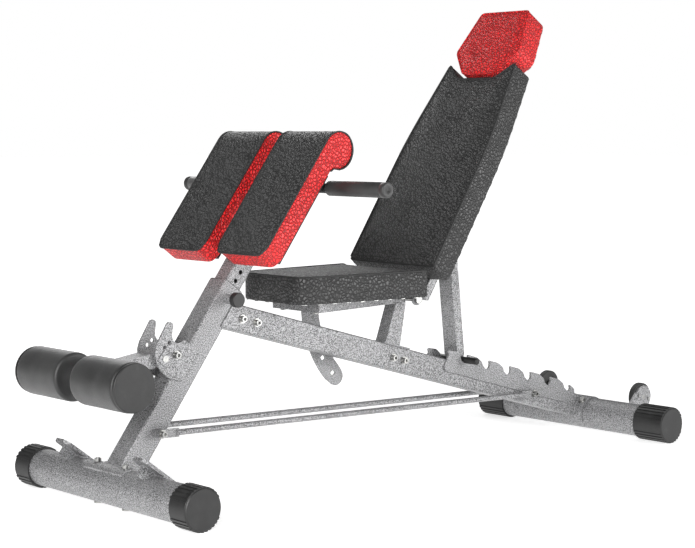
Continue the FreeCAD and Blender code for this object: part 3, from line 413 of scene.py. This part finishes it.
def leatherette(name, dark, bright, grain_size=150.0):
    """Pebbled grain: rounded cells with creases between them, and painted shade darkening the creases."""
    finish = Finish(name)
    bend = finish.node("ShaderNodeTexNoise", {}, finish.cells(120.0, Detail=2.0), out="Color")
    bent = finish.node("ShaderNodeVectorMath", {"operation": "MULTIPLY_ADD"},
                       {0: bend, 1: (0.003, 0.003, 0.003), 2: finish.place})
    crease = finish.node("ShaderNodeTexVoronoi", {"feature": "DISTANCE_TO_EDGE"},
                         {"Vector": bent, "Scale": grain_size}, out="Distance")
    pebble = finish.node("ShaderNodeMapRange", {"interpolation_type": "SMOOTHSTEP"},
                         {"Value": crease, "From Min": 0.0, "From Max": 0.28})
    worn = finish.noise(14.0, 3.0)
    # Colour mixes painted shade in the grain's creases (from pebble) with random tone from the worn and fine
    # noise.
    crease_shade_and_tone = pebble * 0.55 + worn * 0.25 + finish.noise(900.0) * 0.2
    colour = finish.ramp(crease_shade_and_tone, [(0.12, dark), (0.72, bright)])
    finish.surface(Base_Color=colour, Roughness=0.54 - pebble * 0.14 + worn * 0.06)
    finish.relief(pebble, 0.0017)
    return finish.material


charcoal = leatherette("charcoal_leatherette", grey(0.003), grey(0.058))
SEAM = 0.0021


def rounded_outline(corners, step):
    """Evenly spaced points round an outline whose corners are (along, across, radius)."""
    path = []
    count = len(corners)
    for i, (along, across, radius) in enumerate(corners):
        here = Vector((along, across))
        before = Vector(corners[i - 1][:2]) - here
        after = Vector(corners[(i + 1) % count][:2]) - here
        start = here + before.normalized() * radius
        end = here + after.normalized() * radius
        for k in range(9):
            t = k / 8.0
            path.append(start * (1 - t) ** 2 + here * 2 * t * (1 - t) + end * t * t)
    path.append(path[0])
    lengths = [0.0]
    for a, b in zip(path, path[1:]):
        lengths.append(lengths[-1] + (b - a).length)
    total = int(lengths[-1] / step)
    points = []
    at = 0
    for i in range(total):
        want = lengths[-1] * i / total
        while lengths[at + 1] < want:
            at += 1
        gap = lengths[at + 1] - lengths[at]
        points.append(path[at].lerp(path[at + 1], (want - lengths[at]) / gap if gap else 0.0))
    return points


def inset(points, distance):
    """The outline moved inwards."""
    moved = []
    count = len(points)
    for i, point in enumerate(points):
        run = (points[(i + 1) % count] - points[i - 1]).normalized()
        moved.append(point + Vector((-run.y, run.x)) * distance)
    return moved


class Pad:
    """A cushion built in rings from the middle of its underside to the middle of its face."""

    def __init__(self, name, corners, thickness, place, board, shape=None, edge=0.004, step=0.006):
        self.name = name
        self.place = place
        self.shape = shape or (lambda v: v)
        outline = rounded_outline(corners, step)
        self.vertices = []
        self.pinned = []
        self.rings = 0
        self.count = len(outline)
        pocket = inset(outline, board)
        self.fan(pocket, 0.0096, outwards=True)
        self.ring(pocket, 0.0, pin=True)
        self.ring(outline, 0.0012, pin=True)
        sides = int((thickness - edge) / step)
        for i in range(1, sides):
            self.ring(outline, (thickness - edge) * i / sides)
        for i in range(3):
            turn = math.radians(45.0 * i)
            height = thickness - edge + edge * math.sin(turn)
            if i == 1:
                self.seam = self.rings
            self.ring(inset(outline, edge * (1 - math.cos(turn))), height, pin=(i == 1))
        self.fan(inset(outline, edge), thickness, outwards=False)
        self.piece = self.build()

    def ring(self, points, height, pin=False):
        if pin:
            self.pinned += range(len(self.vertices), len(self.vertices) + self.count)
        self.vertices += [Vector((p.x, p.y, height)) for p in points]
        self.rings += 1

    def fan(self, points, height, outwards):
        """Rings that shrink to the middle; on the underside they grow from it."""
        centre = sum(points, Vector((0.0, 0.0))) / len(points)
        shares = [0.97, 0.93, 0.87, 0.80, 0.72, 0.63, 0.54, 0.44, 0.34, 0.24, 0.14, 0.05]
        if outwards:
            shares = [0.05, 0.35, 0.7, 1.0]
        for share in shares:
            self.ring([centre.lerp(p, share) for p in points], height, pin=outwards)

    def build(self):
        mesh = bpy.data.meshes.new(self.name)
        n = self.count
        faces = []
        for r in range(self.rings - 1):
            for i in range(n):
                j = (i + 1) % n
                faces.append((r * n + i, r * n + j, (r + 1) * n + j, (r + 1) * n + i))
        faces.append(tuple(reversed(range(n))))
        last = (self.rings - 1) * n
        faces.append(tuple(range(last, last + n)))
        mesh.from_pydata([tuple(self.place @ self.shape(v)) for v in self.vertices], [], faces)
        mesh.update()
        return show(self.name, mesh)

    def seam_loop(self):
        """The sewn edge, read back from the finished cushion."""
        first = self.seam * self.count
        return [self.piece.data.vertices[first + i].co.copy() for i in range(self.count)]


def stuff(piece, pinned, pressure, cap):
    """Blows the cover up over its foam with the sewn edges held, then keeps that shape."""
    scene = bpy.context.scene
    rest = [v.co.copy() for v in piece.data.vertices]
    group = piece.vertex_groups.new(name="sewn")
    group.add(list(pinned), 1.0, "REPLACE")
    cover = piece.modifiers.new("Cover", "CLOTH")
    cover.settings.quality = 5
    cover.settings.mass = 0.25
    cover.settings.tension_stiffness = 12.0
    cover.settings.compression_stiffness = 12.0
    cover.settings.bending_stiffness = 2.0
    cover.settings.vertex_group_mass = "sewn"
    cover.settings.use_pressure = True
    cover.settings.uniform_pressure_force = pressure
    cover.settings.effector_weights.gravity = 0.0
    cover.point_cache.frame_start = 1
    cover.point_cache.frame_end = 20
    for number in range(1, 21):
        scene.frame_set(number)
    swollen = piece.evaluated_get(bpy.context.evaluated_depsgraph_get()).data
    moves = [v.co - old for v, old in zip(swollen.vertices, rest)]
    piece.modifiers.remove(cover)
    piece.vertex_groups.remove(group)
    scene.frame_set(1)
    for vertex, old, move in zip(piece.data.vertices, rest, moves):
        vertex.co = old + move * (cap * math.tanh(move.length / cap) / max(move.length, 1e-9))


def finish_pad(pad, material, body, replaced, levels=1):
    piece = pad if isinstance(pad, bpy.types.Object) else pad.piece
    clean = bmesh.new()
    clean.from_mesh(piece.data)
    bmesh.ops.recalc_face_normals(clean, faces=clean.faces)
    clean.to_mesh(piece.data)
    clean.free()
    for face in piece.data.polygons:
        face.use_smooth = True
    piece.data.materials.append(material)
    smooth = piece.modifiers.new("Smooth", "SUBSURF")
    smooth.levels = levels
    smooth.render_levels = levels
    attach(piece, body)
    if replaced:
        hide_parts(replaced)


def piping(name, loops, radius, material, body):
    """Thin round welts along closed loops of points."""
    mesh = bpy.data.meshes.new(name)
    vertices = []
    faces = []
    sides = 8
    for loop in loops:
        first = len(vertices)
        count = len(loop)
        for i, point in enumerate(loop):
            run = (loop[(i + 1) % count] - loop[i - 1]).normalized()
            across = run.cross(Vector((0.31, 0.22, 0.93))).normalized()
            up = across.cross(run)
            for k in range(sides):
                turn = 2 * math.pi * k / sides
                vertices.append(point + (across * math.cos(turn) + up * math.sin(turn)) * radius)
        for i in range(count):
            j = (i + 1) % count
            for k in range(sides):
                m = (k + 1) % sides
                faces.append((first + i * sides + k, first + i * sides + m,
                              first + j * sides + m, first + j * sides + k))
    mesh.from_pydata([tuple(v) for v in vertices], [], faces)
    tidy = bmesh.new()
    tidy.from_mesh(mesh)
    bmesh.ops.recalc_face_normals(tidy, faces=tidy.faces)
    tidy.to_mesh(mesh)
    tidy.free()
    for face in mesh.polygons:
        face.use_smooth = True
    mesh.materials.append(material)
    welt = show(name, mesh)
    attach(welt, body)
    return welt


staple_graph = row_graph("wire_staples", "square")


def thread_finish():
    finish = Finish("black_thread")
    twist = finish.noise(2600.0, 2.0)
    finish.surface(Base_Color=finish.ramp(twist, [(0.3, grey(0.006)), (0.7, grey(0.03))]), Roughness=0.6)
    return finish.material


thread = thread_finish()


def staples(name, loop, body):
    made = row(name, staple_graph, [(loop, True)], zinc, 0.034, 0.010, 0.0011, 0.0011)
    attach(made, body)


seat_low, seat_high = (Vector(v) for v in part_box("seat_pad"))
SEAT_FRONT_HALF = 0.097
SEAT_CORNER = 0.040
seat_rear_half = seat_high.y
seat_corners = [(seat_low.x, -SEAT_FRONT_HALF, SEAT_CORNER), (seat_high.x, -seat_rear_half, 0.010),
                (seat_high.x, seat_rear_half, 0.010), (seat_low.x, SEAT_FRONT_HALF, SEAT_CORNER)]
SEAT_CROWN = 0.004
seat_thickness = seat_high.z - seat_low.z - SEAT_CROWN


def rounded(value, height, reach, top, radius):
    """Draws an upper corner of a section in onto an arc; returns how far along and how high."""
    out = value - (reach - radius)
    up = height - (top - radius)
    length = math.hypot(out, up)
    if out > 0.0 and up > 0.0 and length > radius:
        return reach - radius + out * radius / length, top - radius + up * radius / length
    return value, height


def seat_shape(v):
    x, z = rounded(v.x, v.z, seat_high.x, seat_thickness, 0.018)
    return Vector((x, v.y, z))


seat = Pad("seat_cushion", seat_corners, seat_thickness, Matrix.Translation((0.0, 0.0, seat_low.z)),
           board=0.0055, shape=seat_shape)
stuff(seat.piece, seat.pinned, 5.0, SEAT_CROWN)
finish_pad(seat, charcoal, "seat", "seat_pad")
piping("seat_welt", [seat.seam_loop()], SEAM, thread, "seat")
staple_loop = [Vector((p.x, p.y, seat_low.z - 0.0002))
               for p in inset(rounded_outline(seat_corners, 0.01), 0.003)]
staples("seat_staples", staple_loop, "seat")


# ---- Backrest cushion -----------------------------------------------------------------
# The same make as the seat: straight below, tapering above the middle to two shoulders,
# with a notch between them that the headrest sits in.

BACK_SLOPE = math.radians(56.9)
POST_SLOPE = math.atan2(post_direction.z, post_direction.x)


def tilted_box(node, slope):
    """A node's extent in a frame turned up by slope, and the placing from its low corner."""
    turn = Matrix.Rotation(-slope, 4, "Y")
    back = turn.inverted()
    points = [back @ v.co for v in nodes[node].data.vertices]
    low = Vector([min(p[i] for p in points) for i in range(3)])
    high = Vector([max(p[i] for p in points) for i in range(3)])
    return low, high, turn @ Matrix.Translation((low.x, 0.0, low.z))


back_low, back_high, back_place = tilted_box("backrest_pad", BACK_SLOPE)
back_length = back_high.x - back_low.x
back_half = back_high.y
BACK_CROWN = 0.005
back_thickness = back_high.z - back_low.z - BACK_CROWN


def mirrored(half_outline):
    return half_outline + [(along, -across, radius) for along, across, radius in reversed(half_outline)]


def back_shape(v):
    x, z = rounded(back_length - v.x, v.z, back_length, back_thickness, 0.020)
    return Vector((back_length - x, v.y, z))


back_corners = mirrored([(0.0, -back_half, 0.012), (0.300, -back_half + 0.003, 0.070),
                         (back_length, -back_half + 0.031, 0.010), (back_length - 0.039, -0.054, 0.010)])
backrest = Pad("backrest_cushion", back_corners, back_thickness, back_place, board=0.0068, shape=back_shape)
stuff(backrest.piece, backrest.pinned, 5.0, BACK_CROWN)
finish_pad(backrest, charcoal, "backrest", "backrest_pad")
piping("backrest_welt", [backrest.seam_loop()], SEAM, thread, "backrest")
staple_loop = [back_place @ Vector((p.x, p.y, -0.0002))
               for p in inset(rounded_outline(back_corners, 0.01), 0.003)]
staples("backrest_staples", staple_loop, "backrest")


# ---- Headrest cushion -----------------------------------------------------------------
# A six-sided pad in red synthetic leather, sewn like the others, on its own board.

red = leatherette("red_leatherette", (0.16, 0.002, 0.003, 1.0), (0.86, 0.020, 0.022, 1.0))
head_low, head_high, head_place = tilted_box("headrest_pad", BACK_SLOPE)
HEAD_CROWN = 0.0025
head_length = head_high.x - head_low.x
head_corners = mirrored([(0.0, -0.045, 0.008), (0.057, -head_high.y, 0.008), (head_length, -0.070, 0.009)])
headrest = Pad("headrest_cushion", head_corners, head_high.z - head_low.z - HEAD_CROWN, head_place,
               board=0.0068)
stuff(headrest.piece, headrest.pinned, 5.0, HEAD_CROWN)
finish_pad(headrest, red, "backrest", "headrest_pad")
piping("headrest_welt", [headrest.seam_loop()], SEAM * 0.8, red, "backrest")
staple_loop = [head_place @ Vector((p.x, p.y, -0.0002))
               for p in inset(rounded_outline(head_corners, 0.01), 0.003)]
staples("headrest_staples", staple_loop, "backrest")


# ---- Strut rod ------------------------------------------------------------------------
# One black round bar welded across the foot of the strut; it drops into the ladder slots.

def turned(name, profile, centre, closed, segments=72, ripple=0.0):
    """A solid of revolution about Y through centre; profile is a list of (radius, y)."""
    mesh = bpy.data.meshes.new(name)
    vertices = []
    faces = []
    for radius, y in profile:
        for k in range(segments):
            angle = 2 * math.pi * k / segments
            swell = 1.0
            if ripple:
                spot = Vector((math.cos(angle) * 2.0, y * 40.0, math.sin(angle) * 2.0))
                swell += ripple * noise.noise(spot)
            vertices.append((centre.x + radius * swell * math.cos(angle), centre.y + y,
                             centre.z + radius * swell * math.sin(angle)))
    count = len(profile)
    for i in range(count if closed else count - 1):
        j = (i + 1) % count
        for k in range(segments):
            m = (k + 1) % segments
            faces.append((i * segments + k, i * segments + m, j * segments + m, j * segments + k))
    if not closed:
        faces.append(tuple(reversed(range(segments))))
        last = (count - 1) * segments
        faces.append(tuple(range(last, last + segments)))
    mesh.from_pydata(vertices, [], faces)
    tidy = bmesh.new()
    tidy.from_mesh(mesh)
    bmesh.ops.recalc_face_normals(tidy, faces=tidy.faces)
    tidy.to_mesh(mesh)
    tidy.free()
    for face in mesh.polygons:
        face.use_smooth = len(face.vertices) == 4
    return show(name, mesh)


def corner(radius, y, size, start, steps=5):
    """Points of a rounded corner of a profile, turning a quarter from start degrees."""
    points = []
    for i in range(steps + 1):
        angle = math.radians(start + 90.0 * i / steps)
        points.append((radius + size * math.cos(angle), y + size * math.sin(angle)))
    return points


rod_low, rod_high = (Vector(v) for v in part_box("strut_rod"))
rod_radius = (rod_high.x - rod_low.x) / 2.0
rod_half = rod_high.y
rod_profile = [(rod_radius - 0.0015, -rod_half), (rod_radius, -rod_half + 0.0015),
               (rod_radius, rod_half - 0.0015), (rod_radius - 0.0015, rod_half)]
strut_rod = turned("strut_cross_rod", rod_profile, middle("strut_rod"), closed=False, segments=40)
strut_rod.data.materials.append(black_paint)
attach(strut_rod, "strut")
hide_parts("strut_rod")


# ---- Thigh pads -----------------------------------------------------------------------
# Two flat foam pads that swell into a roll at the top. A charcoal panel wraps the face
# and the roll; the sides and the lower end are red, with a dark welt along the seam.

thigh_low, thigh_high, thigh_place = tilted_box("thigh_pads", POST_SLOPE)
ROLL_RADIUS = 0.036
PAD_CORNER = 0.020
THIGH_CROWN = 0.003
pad_length = thigh_high.x - thigh_low.x
pad_top = thigh_high.z - thigh_low.z
pad_floor = pad_top - 0.045
pad_outer = thigh_high.y
PAD_INNER = 0.020
roll_middle = Vector((pad_length - ROLL_RADIUS, pad_top - ROLL_RADIUS))


def thigh_stations():
    """Upper and lower edge of the pad's side at stations along it."""
    flat = 38
    stations = []
    for i in range(flat + 1):
        along = roll_middle.x * i / flat
        gap = roll_middle.x - along
        low = pad_floor
        if gap < ROLL_RADIUS:
            low = min(pad_floor, roll_middle.y - math.sqrt(ROLL_RADIUS ** 2 - gap ** 2))
        stations.append(((along, pad_top), (along, low)))
    for i in range(1, 8):
        angle = math.radians(90.0 - 11.0 * i)
        out = roll_middle.x + ROLL_RADIUS * math.cos(angle)
        rise = ROLL_RADIUS * math.sin(angle)
        stations.append(((out, roll_middle.y + rise), (out, roll_middle.y - rise)))
    return stations


def thigh_mesh(name, side):
    """A block of cells bent to the pad's section; returns the piece and its lattice."""
    stations = thigh_stations()
    across = 22
    deep = 7
    last = len(stations) - 1
    centre_y = (pad_outer + PAD_INNER) / 2.0
    half = (pad_outer - PAD_INNER) / 2.0 - THIGH_CROWN * 0.6
    lattice = {}
    vertices = []
    for i, (top, low) in enumerate(stations):
        for j in range(across + 1):
            for k in range(deep + 1):
                if i in (0, last) or j in (0, across) or k in (0, deep):
                    share = k / deep
                    along = top[0]
                    up = low[1] + (top[1] - low[1]) * share
                    if i == last:
                        angle = math.radians(13.0 * (2 * share - 1))
                        along = roll_middle.x + ROLL_RADIUS * math.cos(angle)
                        up = roll_middle.y + ROLL_RADIUS * math.sin(angle)
                    y = -half + 2 * half * j / across
                    edge = half - abs(y)
                    if edge < PAD_CORNER and along < 0.05:
                        back = PAD_CORNER - math.sqrt(PAD_CORNER ** 2 - (PAD_CORNER - edge) ** 2)
                        along += back * (1.0 - along / 0.05)
                    lattice[i, j, k] = len(vertices)
                    point = Vector((along, side * (centre_y + y), up - THIGH_CROWN * share))
                    vertices.append(thigh_place @ point)
    faces = []

    def patch(cells, corners):
        for cell in cells:
            faces.append([lattice[tuple(a + b for a, b in zip(cell, step))] for step in corners])

    for k in (0, deep):
        patch([(i, j, k) for i in range(last) for j in range(across)],
              [(0, 0, 0), (1, 0, 0), (1, 1, 0), (0, 1, 0)])
    for j in (0, across):
        patch([(i, j, k) for i in range(last) for k in range(deep)],
              [(0, 0, 0), (1, 0, 0), (1, 0, 1), (0, 0, 1)])
    for i in (0, last):
        patch([(i, j, k) for j in range(across) for k in range(deep)],
              [(0, 0, 0), (0, 1, 0), (0, 1, 1), (0, 0, 1)])
    mesh = bpy.data.meshes.new(name)
    mesh.from_pydata([tuple(v) for v in vertices], [], faces)
    tidy = bmesh.new()
    tidy.from_mesh(mesh)
    bmesh.ops.recalc_face_normals(tidy, faces=tidy.faces)
    tidy.to_mesh(mesh)
    tidy.free()
    piece = show(name, mesh)
    sewn = [v for (i, j, k), v in lattice.items()
            if k == 0 or (j in (0, across) and k == deep) or i == 0 and k == deep]
    return piece, lattice, sewn, (last, across, deep)


def thigh_panel(name, piece, lattice, counts):
    """The charcoal panel: a thin sheet over the face, round the roll and under it."""
    last, across, deep = counts
    rows = [[(i, j, deep) for j in range(across + 1)] for i in range(last + 1)]
    rows += [[(last, j, k) for j in range(across + 1)] for k in range(deep - 1, -1, -1)]
    rows += [[(i, j, 0) for j in range(across + 1)] for i in range(last - 1, last - 14, -1)]
    lift = 0.0007
    points = [piece.data.vertices[lattice[key]] for line in rows for key in line]
    wide = across + 1
    faces = [(r * wide + j, r * wide + j + 1, (r + 1) * wide + j + 1, (r + 1) * wide + j)
             for r in range(len(rows) - 1) for j in range(across)]
    mesh = bpy.data.meshes.new(name)
    mesh.from_pydata([tuple(p.co + p.normal * lift) for p in points], [], faces)
    panel = show(name, mesh)
    mesh.update()
    outward = sum((p.normal.dot(v.normal) for p, v in zip(points, mesh.vertices)), 0.0)
    if outward < 0.0:
        mesh.flip_normals()
    sheet = panel.modifiers.new("Sheet", "SOLIDIFY")
    sheet.thickness = 0.0011
    sheet.offset = 0.0
    smooth = panel.modifiers.new("Smooth", "SUBSURF")
    smooth.levels = 1
    smooth.render_levels = 1
    for face in mesh.polygons:
        face.use_smooth = True
    rim = [r * wide for r in range(len(rows))]
    rim += [(len(rows) - 1) * wide + j for j in range(1, wide)]
    rim += [r * wide + across for r in range(len(rows) - 2, -1, -1)]
    rim += [j for j in range(across - 1, 0, -1)]
    return panel, [mesh.vertices[v].co.copy() for v in rim]


for label, side in (("near", -1.0), ("far", 1.0)):
    pad, lattice, sewn, counts = thigh_mesh("thigh_pad_" + label, side)
    stuff(pad, sewn, 4.0, THIGH_CROWN)
    panel, rim = thigh_panel("thigh_panel_" + label, pad, lattice, counts)
    finish_pad(pad, red, "pad_carriage", "thigh_pads")
    panel.data.materials.append(charcoal)
    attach(panel, "pad_carriage")
    piping("thigh_welt_" + label, [rim], SEAM * 0.75, thread, "pad_carriage")


# ---- Handlebar grips ------------------------------------------------------------------
# Closed-cell foam sleeves pushed onto the bar, closed at the outer end with a disc.

def foam_finish(name, grain, depth):
    finish = Finish(name)
    pores = finish.noise(grain, 4.0, 0.7)
    worn = finish.noise(22.0, 4.0)
    colour = finish.ramp(worn, [(0.30, grey(0.010)), (0.70, grey(0.030))])
    finish.surface(Base_Color=colour, Roughness=0.34 + pores * 0.22, Sheen_Weight=0.15)
    finish.relief(pores, depth)
    return finish.material


grip_foam = foam_finish("black_grip_foam", 1300.0, 0.0002)
grip_low, grip_high = (Vector(v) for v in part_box("handle_grips"))
bar_low, bar_high = (Vector(v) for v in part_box("handlebar"))
grip_radius = (grip_high.z - grip_low.z) / 2.0
bar_radius = (bar_high.z - bar_low.z) / 2.0
GRIP_LENGTH = 0.160
for label, side in (("near", -1.0), ("far", 1.0)):
    end = grip_high.y
    start = end - GRIP_LENGTH
    profile = [(bar_radius + 0.0002, start), (grip_radius - 0.002, start)]
    profile += corner(grip_radius - 0.002, start + 0.002, 0.002, -90.0)
    profile += [(grip_radius, end - 0.014), (grip_radius - 0.0008, end - 0.0132)]
    profile += [(grip_radius - 0.0008, end - 0.0122), (grip_radius, end - 0.0114)]
    profile += corner(grip_radius - 0.003, end - 0.003, 0.003, 0.0)
    profile += [(0.0004, end), (0.0004, bar_high.y + 0.0002), (bar_radius + 0.0002, bar_high.y + 0.0002)]
    centre = middle("handlebar")
    grip = turned("handle_grip_" + label, [(r, side * y) for r, y in profile], centre, closed=True)
    grip.data.materials.append(grip_foam)
    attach(grip, "pad_carriage")
    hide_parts("handle_grips")


# ---- Ankle rollers --------------------------------------------------------------------
# Thick black foam tubes that turn on the cross tube between a smooth end disc and the
# arm. Use leaves the skin of the foam slightly uneven.

roller_foam = foam_finish("black_roller_foam", 650.0, 0.0003)
axle_low, axle_high, _ = tilted_box("roller_axle", 0.0)
bore_radius = (axle_high.z - axle_low.z) / 2.0 + 0.0002
for label, side in (("near", -1.0), ("far", 1.0)):
    node = "foam_roller_" + label
    low, high = (Vector(v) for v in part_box(node))
    centre = middle(node)
    radius = (high.z - low.z) / 2.0 - 0.0004
    half = (high.y - low.y) / 2.0
    soft = 0.006
    profile = [(bore_radius, -half)]
    profile += corner(radius - soft, -half + soft, soft, -90.0, 8)
    profile += [(radius, -half + soft + (2 * half - 2 * soft) * i / 24) for i in range(1, 24)]
    profile += corner(radius - soft, half - soft, soft, 0.0, 8)
    profile += [(bore_radius, half)]
    roller = turned("ankle_roller_" + label, profile, centre, closed=True, segments=96, ripple=0.006)
    roller.data.materials.append(roller_foam)
    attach(roller, "roller_" + label)
    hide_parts(node)


# ---- Transport wheels -----------------------------------------------------------------
# Hard grey-black plastic wheels, moulded, with a scuffed tread.

def wheel_plastic():
    finish = Finish("wheel_plastic")
    scuff = finish.noise(90.0, 6.0, 0.7)
    colour = finish.ramp(scuff, [(0.35, grey(0.014)), (0.60, grey(0.030)), (0.75, grey(0.075))])
    finish.surface(Base_Color=colour, Roughness=0.45 + scuff * 0.25)
    finish.relief(scuff, 0.0001)
    return finish.material


coat(wheel_plastic(), "wheel_near", "wheel_far")


# ---- Floor, lights and camera ---------------------------------------------------------
# A pale seamless floor and soft studio light: one large panel on each side, in front of
# the bench, and a weak one behind it.

floor_mesh = bpy.data.meshes.new("studio_floor")
FLOOR = 40.0
floor_mesh.from_pydata([(-FLOOR, -FLOOR, 0), (FLOOR, -FLOOR, 0), (FLOOR, FLOOR, 0), (-FLOOR, FLOOR, 0)],
                       [], [(0, 1, 2, 3)])
floor = show("studio_floor", floor_mesh)
paper = Finish("pale_floor")
far = paper.node("ShaderNodeVectorMath", {"operation": "LENGTH"}, {0: paper.place}, out="Value")
glow = paper.ramp(far * (1.0 / FLOOR), [(0.025, grey(0.66)), (0.12, grey(1.0))])
paper.surface(Base_Color=paper.ramp(paper.noise(3.0), [(0.0, grey(0.84)), (1.0, grey(0.88))]), Roughness=1.0,
              Specular_IOR_Level=0.0, Emission_Color=glow, Emission_Strength=1.0)
floor.data.materials.append(paper.material)

world = bpy.data.worlds.new("studio")
bpy.context.scene.world = world
world.use_nodes = True
sky = world.node_tree
seen = sky.nodes.new("ShaderNodeLightPath")
tone = sky.nodes.new("ShaderNodeMix")
tone.data_type = "RGBA"
tone.inputs["A"].default_value = grey(0.22)
tone.inputs["B"].default_value = grey(1.0)
sky.links.new(seen.outputs["Is Camera Ray"], tone.inputs["Factor"])
sky.links.new(tone.outputs["Result"], sky.nodes["Background"].inputs["Color"])
bpy.context.scene.view_settings.view_transform = "Standard"


def panel_light(name, position, target, size, power):
    light = bpy.data.lights.new(name, "AREA")
    light.shape = "RECTANGLE"
    light.size, light.size_y = size
    light.energy = power
    lamp = bpy.data.objects.new(name, light)
    bpy.context.scene.collection.objects.link(lamp)
    lamp.location = position
    lamp.rotation_euler = (Vector(target) - Vector(position)).to_track_quat("-Z", "Y").to_euler()


panel_light("key_light", (-2.9, -2.0, 1.3), (0.0, 0.0, 0.4), (1.4, 1.4), 110.0)
panel_light("side_light", (1.9, -2.9, 1.0), (0.0, 0.0, 0.4), (0.8, 1.8), 58.0)
panel_light("back_light", (1.2, 2.4, 1.8), (0.0, 0.0, 0.5), (1.6, 1.0), 22.0)

CAMERA_PLACE = (-2.3517, -2.5743, 0.6726)
CAMERA_TURN = (90.0 - 4.647, 0.0, -41.692)
camera_data = bpy.data.cameras.new("camera")
camera_data.sensor_width = 36.0
camera_data.lens = 89.04
camera = bpy.data.objects.new("camera", camera_data)
camera.location = CAMERA_PLACE
camera.rotation_euler = [math.radians(angle) for angle in CAMERA_TURN]
bpy.context.scene.collection.objects.link(camera)
bpy.context.scene.camera = camera
